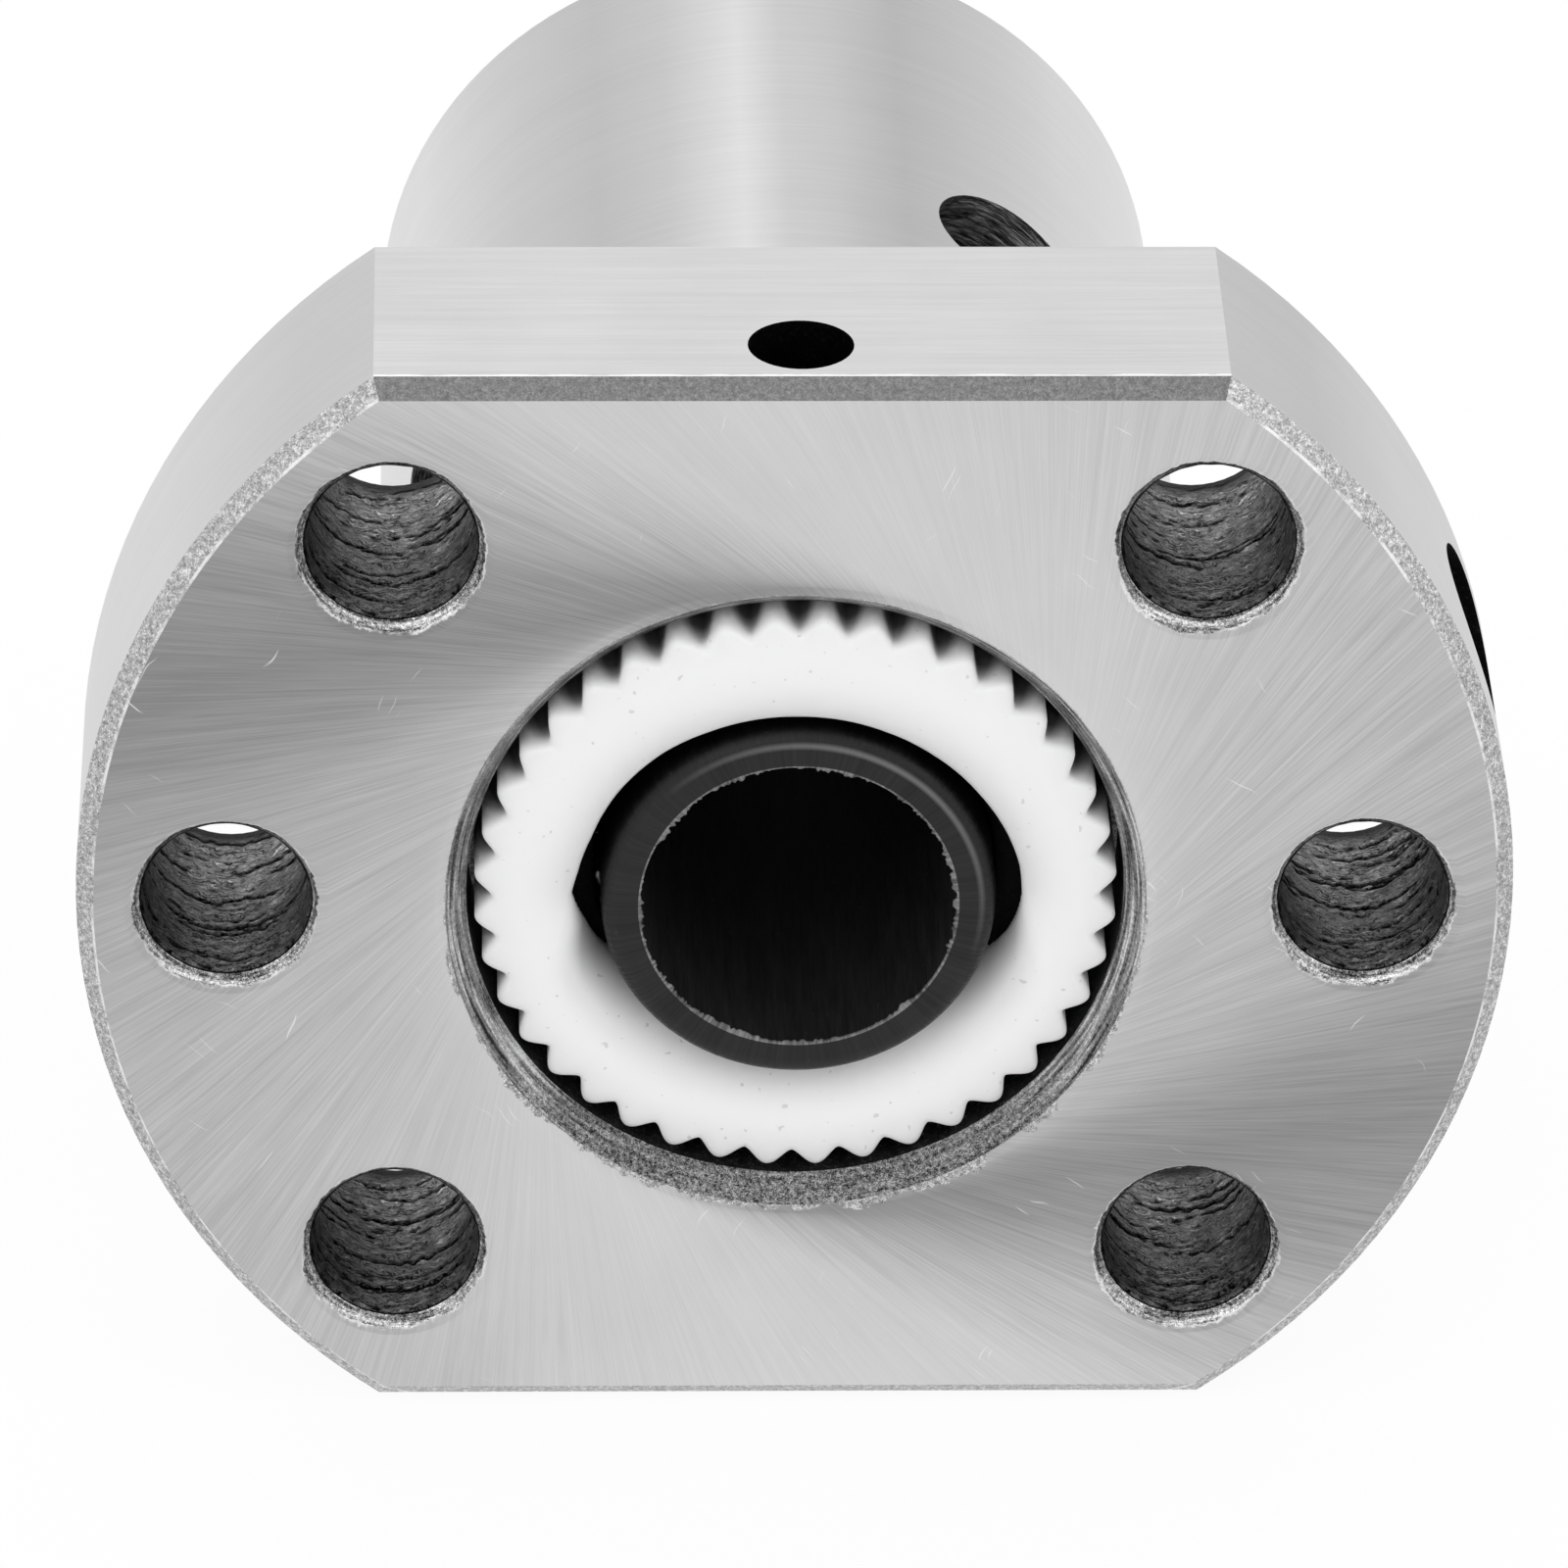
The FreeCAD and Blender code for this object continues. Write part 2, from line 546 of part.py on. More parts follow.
def make_grub_screws():
    """Drive a grub screw into a tooth gap of each wiper."""
    front = make_grub_screw("front_grub_screw", "Sizes.front_grub_length")
    stand_radially(front, "90", f"{FRONT_FACE} + {GRUB_PLACE}")
    rear = make_grub_screw("rear_grub_screw", "Sizes.rear_grub_length")
    stand_radially(rear, "270", f"{REAR_FACE} - {GRUB_PLACE}")
    return [front, rear]


def make_circuits():
    """Make each circuit's return insert and its balls."""
    pieces = []
    for index in range(int(number(CIRCUITS))):
        insert = make_return_insert(f"return_insert_{index + 1}")
        stand_radially(insert, insert_angle(index), insert_place(index))
        pieces += [insert, make_ball_circuit(index)]
    return pieces


def check(pieces):
    """Stop if any object failed or any piece is empty or broken."""
    for item in doc.Objects:
        if "Invalid" in item.State or "Error" in item.State:
            raise RuntimeError(f"{item.Name} is {item.State}")
    for piece in pieces:
        if piece.Shape.isNull() or not piece.Shape.isValid() or not piece.Shape.Solids:
            raise RuntimeError(f"{piece.Label} has no valid solid")


pieces = [make_flange(), make_barrel(), *make_wipers(), *make_grub_screws(), *make_circuits(), make_sleeve()]
doc.recompute()
check(pieces)
for piece in pieces:
    piece.Shape.exportStep(f"parts/{piece.Label}.step")
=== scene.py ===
"""Dresses the flanged ball nut and its shipping sleeve, and sets a plain studio round them.

Lengths in the classes are millimetres and are turned into metres where a mesh is made. The
nut's axis runs along Y, its ground face looks towards -Y and its oil port is at the right. A
face counts as lying on a surface when it is nearer than TOUCH.
"""
import logging
import math
import sys
from collections.abc import Callable
from dataclasses import dataclass, field
from enum import Enum

import bpy
import numpy as np
from mathutils import Matrix, Vector

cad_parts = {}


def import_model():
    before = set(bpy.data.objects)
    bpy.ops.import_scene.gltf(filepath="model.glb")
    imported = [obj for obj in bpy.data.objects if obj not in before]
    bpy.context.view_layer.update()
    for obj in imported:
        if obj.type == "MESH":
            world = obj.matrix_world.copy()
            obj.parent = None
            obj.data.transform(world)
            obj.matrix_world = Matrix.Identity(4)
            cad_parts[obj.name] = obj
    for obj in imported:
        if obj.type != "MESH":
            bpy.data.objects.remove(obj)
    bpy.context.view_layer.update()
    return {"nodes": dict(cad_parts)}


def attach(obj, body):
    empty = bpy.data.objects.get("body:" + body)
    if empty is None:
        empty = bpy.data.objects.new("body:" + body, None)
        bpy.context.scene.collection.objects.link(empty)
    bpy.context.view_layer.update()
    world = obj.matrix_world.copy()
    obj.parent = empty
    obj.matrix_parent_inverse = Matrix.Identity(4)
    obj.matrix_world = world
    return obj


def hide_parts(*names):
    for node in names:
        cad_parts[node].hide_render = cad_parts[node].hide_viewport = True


log = logging.getLogger("ball_nut")

Socket = bpy.types.NodeSocket
# What a finish lays out: its base colour, a roughness and a height.
Look = tuple[object, object, object]

MM = 0.001
TOUCH = 0.02


def grey(level: float) -> tuple[float, float, float, float]:
    """Turn a grey as it looks on a screen, 0 to 1, into a shader's colour."""
    linear = level / 12.92 if level <= 0.04045 else ((level + 0.055) / 1.055) ** 2.4
    return (linear, linear, linear, 1.0)


class Wiring:
    """Adds nodes to one node tree and joins them."""

    def __init__(self, tree: bpy.types.NodeTree) -> None:
        """Take over an empty node tree."""
        self.tree = tree
        self.tree.nodes.clear()

    def add(self, kind: str, **settings: object) -> bpy.types.Node:
        """Add a node.

        Args:
            kind: the node's type, without the words Shader Node.
            settings: properties to set on it.

        Returns:
            The new node.
        """
        node = self.tree.nodes.new(f"ShaderNode{kind}")
        for name, setting in settings.items():
            setattr(node, name, setting)
        return node

    def feed(self, socket: Socket, source: object) -> None:
        """Give an input socket another node's output, or a plain value."""
        if isinstance(source, Socket):
            self.tree.links.new(source, socket)
        else:
            socket.default_value = source

    def math(self, operation: str, *sources: object) -> Socket:
        """Work out one step of arithmetic.

        Args:
            operation: the Math node's operation.
            sources: its inputs, sockets or numbers.

        Returns:
            The result's socket.
        """
        node = self.add("Math", operation=operation)
        for socket, source in zip(node.inputs, sources):
            self.feed(socket, source)
        return node.outputs[0]

    def times(self, first: object, second: object) -> Socket:
        """Multiply two values."""
        return self.math("MULTIPLY", first, second)

    def plus(self, first: object, second: object) -> Socket:
        """Add two values."""
        return self.math("ADD", first, second)

    def minus(self, first: object, second: object) -> Socket:
        """Take the second value from the first."""
        return self.math("SUBTRACT", first, second)

    def mix(self, first: object, second: object, share: object) -> Socket:
        """Add two values up by shares: the second's, and the rest for the first."""
        rest = self.minus(1.0, share)
        return self.plus(self.times(first, rest), self.times(second, share))

    def vector(self, operation: str, *sources: object) -> Socket:
        """Work out one step of vector arithmetic, and return its vector."""
        node = self.add("VectorMath", operation=operation)
        for socket, source in zip(node.inputs, sources):
            self.feed(socket, source)
        return node.outputs[0]

    def spread(self, source: object, low: object, high: object, *to: object) -> Socket:
        """Map a value from one range to another, or to 0 and 1, clamped at both ends."""
        node = self.add("MapRange")
        for socket, part in zip(node.inputs, (source, low, high, *(to or (0.0, 1.0)))):
            self.feed(socket, part)
        return node.outputs[0]

    def noise(self, place: object, scale: float, detail: float = 3.0, roughness: float = 0.6) -> Socket:
        """Add a noise texture at a place and return its value."""
        node = self.add("TexNoise")
        self.feed(node.inputs["Vector"], place)
        node.inputs["Scale"].default_value = scale
        node.inputs["Detail"].default_value = detail
        node.inputs["Roughness"].default_value = roughness
        return node.outputs["Fac"]

    def parts(self, source: Socket) -> list[Socket]:
        """Split a vector into its three numbers."""
        node = self.add("SeparateXYZ")
        self.feed(node.inputs[0], source)
        return list(node.outputs)

    def point(self, x: object, y: object, z: object) -> Socket:
        """Join three numbers into a vector."""
        node = self.add("CombineXYZ")
        for socket, source in zip(node.inputs, (x, y, z)):
            self.feed(socket, source)
        return node.outputs[0]

    def reach(self, x: object, z: object) -> Socket:
        """Measure how far a point lies from an axis along Y."""
        return self.math("SQRT", self.plus(self.times(x, x), self.times(z, z)))

    def circling(self, x: object, z: object, fineness: float, along: object) -> Socket:
        """Make a place whose first two numbers go round an axis with no seam."""
        turn = self.math("ARCTAN2", z, x)
        return self.point(
            self.times(self.math("COSINE", turn), fineness),
            self.times(self.math("SINE", turn), fineness),
            along)

    def place(self) -> Socket:
        """Give the shaded point in the object's own millimetres."""
        coordinates = self.add("TexCoord")
        node = self.add("VectorMath", operation="SCALE")
        self.feed(node.inputs[0], coordinates.outputs["Object"])
        node.inputs["Scale"].default_value = 1.0 / MM
        return node.outputs[0]

    def ramp(self, source: object, stops: tuple[tuple[float, float], ...]) -> Socket:
        """Turn a value into greys.

        Args:
            source: the value, 0 to 1.
            stops: pairs of a place along the ramp and the grey that shows there.

        Returns:
            The colour's socket.
        """
        node = self.add("ValToRGB")
        elements = node.color_ramp.elements
        while len(elements) < len(stops):
            elements.new(0.5)
        for element, (place, level) in zip(elements, stops):
            element.position = place
            element.color = grey(level)
        self.feed(node.inputs[0], source)
        return node.outputs["Color"]

    def tint(self, factor: object, first: object, second: object, blend: str = "MIX") -> Socket:
        """Blend a second colour over a first."""
        node = self.add("Mix", data_type="RGBA", blend_type=blend)
        self.feed(node.inputs["Factor"], factor)
        self.feed(node.inputs[6], first)
        self.feed(node.inputs[7], second)
        return node.outputs[2]

    def shade(self, colour: object, factor: object) -> Socket:
        """Lighten or darken a colour by a factor."""
        return self.tint(1.0, colour, self.point(factor, factor, factor), "MULTIPLY")

    def effect(self, shared: str, **sources: object) -> bpy.types.NodeOutputs:
        """Place a shared effect, feed its named inputs and return its outputs."""
        node = self.add("Group", node_tree=Effect.made[shared])
        for name, source in sources.items():
            self.feed(node.inputs[name.replace("_", " ").title()], source)
        return node.outputs


class Effect:
    """A shader node group that more than one finish uses, built once."""

    made: dict[str, bpy.types.NodeTree] = {}

    def __init__(self, name: str, inputs: dict[str, object], outputs: tuple[str, ...]) -> None:
        """Start the group with its named sockets.

        Args:
            name: the group's name.
            inputs: each input's name with its default; a triple makes a vector.
            outputs: the outputs' names, all plain values, but Place, which is a vector.
        """
        self.tree = bpy.data.node_groups.new(name, "ShaderNodeTree")
        self.wiring = Wiring(self.tree)
        for title, default in inputs.items():
            kind = "NodeSocketVector" if isinstance(default, tuple) else "NodeSocketFloat"
            socket = self.tree.interface.new_socket(name=title, in_out="INPUT", socket_type=kind)
            socket.default_value = default
        for title in outputs:
            kind = "NodeSocketVector" if title == "Place" else "NodeSocketFloat"
            self.tree.interface.new_socket(name=title, in_out="OUTPUT", socket_type=kind)
        self.source = self.tree.nodes.new("NodeGroupInput")
        self.drain = self.tree.nodes.new("NodeGroupOutput")
        Effect.made[name] = self.tree

    def give(self, title: str, source: Socket) -> None:
        """Join a result to one of the group's outputs."""
        self.wiring.feed(self.drain.inputs[title], source)


def build_effects() -> None:
    """Build every effect that the finishes share."""
    build_swirl()
    build_tool_lines()
    build_torn_metal()
    build_cloud()
    build_scratches()


def build_swirl() -> None:
    """Follow the lines that a face grinder leaves, each tangent to a circle round the axis.

    Place runs across and along a line, and Turn is the line's direction, 0 to 1 in a half turn.
    """
    inputs = {"Point": (0.0, 0.0, 0.0), "Inner Radius": 9.0, "Fineness": 150.0, "Length": 9.0}
    effect = Effect("swirl", inputs, ("Place", "Turn"))
    w, given = effect.wiring, effect.source.outputs
    x, _, z = w.parts(given["Point"])
    radius = w.reach(x, z)
    share = w.math("MINIMUM", w.math("DIVIDE", given["Inner Radius"], radius), 1.0)
    line = w.minus(w.math("ARCTAN2", z, x), w.math("ARCCOSINE", share))
    run = w.times(radius, w.math("SINE", w.math("ARCCOSINE", share)))
    fine = given["Fineness"]
    effect.give("Place", w.point(
        w.times(fine, w.math("COSINE", line)),
        w.times(fine, w.math("SINE", line)),
        w.math("DIVIDE", run, given["Length"])))
    effect.give("Turn", w.math("FRACT", w.math("DIVIDE", line, math.pi)))


def build_tool_lines() -> None:
    """Draw fine parallel tool marks, a broad set over a hair-fine one, round 0.5."""
    effect = Effect("tool_lines", {"Place": (0.0, 0.0, 0.0), "Broad": 0.35}, ("Lines",))
    w, given = effect.wiring, effect.source.outputs
    fine = w.noise(given["Place"], 1.0, 2.0, 0.7)
    broad = w.noise(w.vector("MULTIPLY", given["Place"], (0.22, 0.22, 0.5)), 1.0, 3.0, 0.6)
    effect.give("Lines", w.spread(w.mix(fine, broad, given["Broad"]), 0.36, 0.64))


def build_torn_metal() -> None:
    """Speckle an edge where a cutter tore the steel: bright flecks among dark pits."""
    effect = Effect("torn_metal", {"Point": (0.0, 0.0, 0.0), "Grain": 0.12}, ("Flecks", "Height"))
    w, given = effect.wiring, effect.source.outputs
    scaled = w.vector("DIVIDE", given["Point"], w.point(given["Grain"], given["Grain"], given["Grain"]))
    coarse = w.noise(scaled, 0.55, 4.0, 0.72)
    fine = w.noise(scaled, 1.7, 2.0, 0.6)
    both = w.mix(coarse, fine, 0.45)
    effect.give("Flecks", w.spread(both, 0.38, 0.62))
    effect.give("Height", both)


def build_cloud() -> None:
    """Vary a tone in soft patches, between the two given levels."""
    effect = Effect("cloud", {"Point": (0.0, 0.0, 0.0), "Size": 5.0, "Low": 0.96, "High": 1.03}, ("Tone",))
    w, given = effect.wiring, effect.source.outputs
    size = w.point(given["Size"], given["Size"], given["Size"])
    patch = w.noise(w.vector("DIVIDE", given["Point"], size), 1.0, 3.0, 0.55)
    effect.give("Tone", w.spread(patch, 0.3, 0.7, given["Low"], given["High"]))


def build_scratches() -> None:
    """Draw sparse short handling scratches, as thin bright lines in two directions."""
    effect = Effect("scratches", {"Point": (0.0, 0.0, 0.0), "Density": 0.5}, ("Scratches",))
    w, given = effect.wiring, effect.source.outputs
    marks = None
    for angle, seed in ((0.9, 3.0), (-0.5, 11.0)):
        turned = w.add("VectorRotate", rotation_type="Y_AXIS")
        w.feed(turned.inputs["Vector"], given["Point"])
        turned.inputs["Angle"].default_value = angle
        moved = w.vector("ADD", turned.outputs[0], (seed, seed, seed))
        warp = w.noise(moved, 0.6, 1.0, 0.5)
        bent = w.vector("ADD", moved, w.point(w.times(warp, 1.2), 0.0, 0.0))
        thin = w.noise(w.vector("MULTIPLY", bent, (9.0, 1.0, 0.42)), 1.0, 0.0, 0.5)
        where = w.noise(moved, 0.33, 1.0, 0.5)
        line = w.spread(thin, 0.78, 0.82)
        kept = w.times(line, w.spread(where, 0.55, 0.62))
        marks = kept if marks is None else w.math("MAXIMUM", marks, kept)
    effect.give("Scratches", w.times(marks, given["Density"]))


@dataclass(frozen=True)
class Finish:
    """How one kind of surface looks; each subclass lays out its own nodes."""

    name: str
    roughness: float = 0.4
    metallic: float = 1.0
    specular: float = 0.5
    glow: float = 0.0
    bump: float = 0.01

    def colour(self, w: Wiring, point: Socket) -> Look:
        """Lay the finish's nodes.

        Args:
            w: the material's wiring.
            point: the shaded point in millimetres.

        Returns:
            The base colour, then a roughness and a height, each a socket or None.
        """
        raise NotImplementedError

    def flat(self, w: Wiring, point: Socket) -> Socket | None:
        """Say where a bevel is so worn down that it shades as the face beside it, 0 to 1."""
        return None

    def facing(self, w: Wiring, normal: Socket, flat: Socket | None) -> Socket:
        """Turn a normal towards the ground face where the mask says so.

        Args:
            w: the material's wiring.
            normal: the bumped normal.
            flat: the mask, or None.

        Returns:
            The normal to shade with.
        """
        if flat is None:
            return normal
        turned = w.add("VectorTransform", vector_type="NORMAL", convert_from="OBJECT", convert_to="WORLD")
        turned.inputs[0].default_value = (0.0, -1.0, 0.0)
        mixed = w.add("Mix", data_type="VECTOR")
        w.feed(mixed.inputs["Factor"], flat)
        w.feed(mixed.inputs[4], normal)
        w.feed(mixed.inputs[5], turned.outputs[0])
        return w.vector("NORMALIZE", mixed.outputs[1])

    def material(self) -> bpy.types.Material:
        """Make the material, or find it if it is already made."""
        ready = bpy.data.materials.get(self.name)
        if ready is not None:
            return ready
        made = bpy.data.materials.new(self.name)
        made.use_nodes = True
        w = Wiring(made.node_tree)
        shader = w.add("BsdfPrincipled")
        shader.inputs["Metallic"].default_value = self.metallic
        shader.inputs["Roughness"].default_value = self.roughness
        shader.inputs["Specular IOR Level"].default_value = self.specular
        if self.glow:
            shader.inputs["Subsurface Weight"].default_value = self.glow
            shader.inputs["Subsurface Radius"].default_value = (1.0, 1.0, 1.0)
            shader.inputs["Subsurface Scale"].default_value = 1.4 * MM
        base, rough, height = self.colour(w, w.place())
        w.feed(shader.inputs["Base Color"], base)
        if rough is not None:
            w.feed(shader.inputs["Roughness"], rough)
        if height is not None:
            node = w.add("Bump")
            node.inputs["Strength"].default_value = 1.0
            node.inputs["Distance"].default_value = self.bump * MM
            w.feed(node.inputs["Height"], height)
            w.feed(shader.inputs["Normal"], self.facing(w, node.outputs["Normal"], self.flat(w, w.place())))
        w.feed(w.add("OutputMaterial").inputs["Surface"], shader.outputs["BSDF"])
        return made


@dataclass(frozen=True)
class GroundFace(Finish):
    """The flange's face: a grinder's swirl, over a painted reflection that goes dark and light as the lines
    turn.

    It is torn a little round the wiper's seat, most of all below.
    """

    seat_mouth: float = 11.7
    bump: float = 0.004

    def colour(self, w: Wiring, point: Socket) -> Look:
        """Paint the reflection by the direction of the grinding lines, then draw the lines themselves."""
        sheen = w.effect("swirl", point=point, inner_radius=12.0)
        # Painted reflection: a grey for each direction of the grinding lines, where a ground face would
        # reflect dark or light.
        tone = w.ramp(sheen["Turn"], (
            (0.00, 0.800), (0.10, 0.820), (0.24, 0.840), (0.34, 0.825), (0.42, 0.735),
            (0.49, 0.615), (0.56, 0.580), (0.62, 0.635), (0.68, 0.715), (0.76, 0.745),
            (0.86, 0.760), (1.00, 0.800)))
        track = w.effect("swirl", point=point, inner_radius=8.6, fineness=240.0, length=4.5)
        lines = w.effect("tool_lines", place=track["Place"])["Lines"]
        level = w.add("RGBToBW")
        w.feed(level.inputs[0], tone)
        depth = w.spread(level.outputs[0], grey(0.83)[0], grey(0.76)[0], 0.09, 0.28)
        swing = w.times(w.minus(lines, 0.5), depth)
        cloud = w.effect("cloud", point=point, size=6.0, low=0.97, high=1.03)["Tone"]
        shade = w.times(w.plus(swing, 1.0), cloud)
        marked = w.shade(tone, shade)
        scratches = w.effect("scratches", point=point, density=0.6)["Scratches"]
        scratched = w.tint(scratches, marked, grey(0.95))
        x, _, z = w.parts(point)
        torn = w.effect("torn_metal", point=point, grain=0.07)
        flecks = w.ramp(torn["Flecks"], ((0.0, 0.30), (0.5, 0.66), (1.0, 0.98)))
        width = w.spread(w.noise(point, 0.6, 3.0, 0.6), 0.42, 0.72)
        reach = w.times(width, w.spread(z, -10.0, 2.0, 0.60, 0.05))
        beyond = w.minus(w.reach(x, z), w.plus(reach, self.seat_mouth))
        base = w.tint(w.spread(beyond, -0.03, 0.03, 0.9, 0.0), scratched, flecks)
        return base, w.spread(lines, 0.0, 1.0, self.roughness - 0.04, self.roughness + 0.06), lines


@dataclass(frozen=True)
class TurnedSteel(Finish):
    """The rim and barrel: turned smooth, with faint rings round the axis.

    The bands are painted reflections: pairs of an angle from +X in half turns, and the grey there; they
    run along the axis, as long reflections do on a turned cylinder, and are the same above and below.
    """

    bands: tuple[tuple[float, float], ...] = ((0.0, 0.80), (1.0, 0.80))
    rings: float = 0.05
    bump: float = 0.003

    def colour(self, w: Wiring, point: Socket) -> Look:
        """Draw rings across the axis over soft patches and painted reflection bands."""
        x, y, z = w.parts(point)
        half = w.math("DIVIDE", w.math("ABSOLUTE", w.math("ARCTAN2", z, x)), math.pi)
        place = w.circling(x, z, 2.5, w.times(y, 9.0))
        lines = w.effect("tool_lines", place=place, broad=0.45)["Lines"]
        cloud = w.effect("cloud", point=point, size=4.0, low=0.985, high=1.015)["Tone"]
        shade = w.times(cloud, w.spread(lines, 0.0, 1.0, 1.0 - self.rings, 1.0 + self.rings))
        # Painted reflections: the bands' greys, by angle round the axis.
        base = w.shade(w.ramp(half, self.bands), shade)
        return base, None, lines


@dataclass(frozen=True)
class MilledFlat(Finish):
    """The flange's two flats: a cutter's straight lines along X, bright where the bevel begins."""

    level: float = 0.79
    bevel_end: float = -9.4
    bump: float = 0.004

    def colour(self, w: Wiring, point: Socket) -> Look:
        """Draw straight lines that run on for most of the flat's width."""
        x, y, _ = w.parts(point)
        place = w.point(w.times(y, 7.0), w.times(x, 0.12), 0.0)
        lines = w.effect("tool_lines", place=place, broad=0.5)["Lines"]
        cloud = w.effect("cloud", point=point, size=5.0, low=0.97, high=1.03)["Tone"]
        shade = w.times(cloud, w.spread(lines, 0.0, 1.0, 0.93, 1.04))
        base = w.shade(grey(self.level), shade)
        ragged = w.spread(w.noise(point, 0.8, 3.0, 0.7), 0.35, 0.6, 0.02, 0.12)
        past = w.minus(y, w.plus(ragged, self.bevel_end))
        bright = w.spread(past, 0.0, 0.05, 0.8, 0.0)
        return w.tint(bright, base, grey(0.97)), None, lines


@dataclass(frozen=True)
class TornEdge(Finish):
    """A bevel cut rough: flecks and pits."""

    dark: float = 0.45
    light: float = 0.95
    grain: float = 0.12
    bump: float = 0.05

    def colour(self, w: Wiring, point: Socket) -> Look:
        """Speckle between the dark and the light grey."""
        torn = w.effect("torn_metal", point=point, grain=self.grain)
        middle = (self.dark + self.light) / 2
        base = w.ramp(torn["Flecks"], ((0.0, self.dark), (0.55, middle), (1.0, self.light)))
        return base, None, torn["Height"]


@dataclass(frozen=True)
class RimBevel(TornEdge):
    """The rim's bevel: torn, with a thin bright line where it meets the face."""

    inner_radius: float = 23.4

    def colour(self, w: Wiring, point: Socket) -> Look:
        """Lay the bright line, broken here and there, over the torn steel."""
        base, rough, height = super().colour(w, point)
        x, _, z = w.parts(point)
        off = w.math("ABSOLUTE", w.minus(w.reach(x, z), self.inner_radius + 0.04))
        broken = w.spread(w.noise(point, 0.5, 3.0, 0.7), 0.42, 0.56)
        line = w.times(w.spread(off, 0.03, 0.06, 0.8, 0.0), broken)
        return w.tint(line, base, grey(0.96)), rough, height


@dataclass(frozen=True)
class HoleBevel(Finish):
    """A bolt hole's bevel: ringed and torn, of uneven width, with a bright outline."""

    bolt_circle: float = 19.0
    bolt_radius: float = 2.9
    bump: float = 0.05

    def beyond(self, w: Wiring, point: Socket) -> tuple[Socket, Socket, Socket]:
        """Fold the six holes on to one and find the torn band's ragged outline round it.

        Args:
            w: the material's wiring.
            point: the shaded point in millimetres.

        Returns:
            How far the point lies outside the outline, and its place across and up from the
            hole's middle.
        """
        x, _, z = w.parts(point)
        corner = w.math("GREATER_THAN", w.math("ABSOLUTE", z), 7.0)
        diagonal = self.bolt_circle / math.sqrt(2)
        inward = w.times(corner, self.bolt_circle - diagonal)
        centre_x = w.minus(self.bolt_circle, inward)
        off_x = w.minus(w.math("ABSOLUTE", x), centre_x)
        off_z = w.minus(w.math("ABSOLUTE", z), w.times(corner, diagonal))
        below = w.times(off_z, w.math("SIGN", z))
        width = w.spread(below, -2.5, 1.5, 0.34, 0.16)
        ragged = w.spread(w.noise(point, 2.6, 3.0, 0.7), 0.3, 0.7, -0.07, 0.07)
        uneven = w.spread(w.noise(point, 0.3, 1.0, 0.5), 0.35, 0.65, -0.07, 0.07)
        edge = w.plus(w.plus(width, ragged), w.plus(uneven, self.bolt_radius))
        return w.minus(w.reach(off_x, off_z), edge), off_x, off_z

    def flat(self, w: Wiring, point: Socket) -> Socket | None:
        """Shade as the face outside the torn band."""
        return w.spread(self.beyond(w, point)[0], -0.02, 0.03)

    def colour(self, w: Wiring, point: Socket) -> Look:
        """Ring and tear the band round the hole, and grind what lies outside it."""
        beyond, off_x, off_z = self.beyond(w, point)
        outward = w.times(w.reach(off_x, off_z), 9.0)
        rings = w.noise(w.circling(off_x, off_z, 1.6, outward), 1.0, 3.0, 0.6)
        torn = w.effect("torn_metal", point=point, grain=0.07)
        both = w.mix(rings, torn["Height"], 0.6)
        flecks = w.ramp(
            w.spread(both, 0.41, 0.59),
            ((0.0, 0.10), (0.35, 0.45), (0.65, 0.72), (1.0, 1.0)))
        # The ground face's colour outside the band brings its painted reflection with it.
        ground, _, _ = GROUND.colour(w, point)
        base = w.tint(w.spread(beyond, -0.02, 0.03), flecks, ground)
        broken = w.spread(w.noise(point, 0.7, 3.0, 0.7), 0.42, 0.56)
        outline = w.times(w.spread(w.math("ABSOLUTE", beyond), 0.02, 0.05, 0.7, 0.0), broken)
        return w.tint(outline, base, grey(0.95)), None, both


@dataclass(frozen=True)
class RingedEdge(Finish):
    """The wiper seat's bevel: several rough rings that a boring bar left."""

    bump: float = 0.07

    def colour(self, w: Wiring, point: Socket) -> Look:
        """Lay rings round the axis, broken up by torn flecks and rougher below."""
        x, _, z = w.parts(point)
        rings = w.noise(w.circling(x, z, 3.0, w.times(w.reach(x, z), 9.0)), 1.0, 3.0, 0.6)
        torn = w.effect("torn_metal", point=point, grain=0.08)
        rough = w.spread(z, -10.5, -6.0, 1.15, 0.45)
        swing = w.times(w.minus(torn["Height"], 0.5), rough)
        ringed = w.times(w.minus(rings, 0.5), w.spread(z, -10.5, -7.0, 0.2, 0.6))
        height = w.plus(ringed, w.plus(swing, 0.5))
        base = w.ramp(
            w.spread(height, 0.40, 0.60),
            ((0.0, 0.22), (0.4, 0.60), (0.7, 0.76), (1.0, 1.0)))
        # Darker towards the bottom, brighter towards the top.
        below = w.spread(z, -10.0, -2.0, 0.58, 1.08)
        return w.shade(base, below), None, height


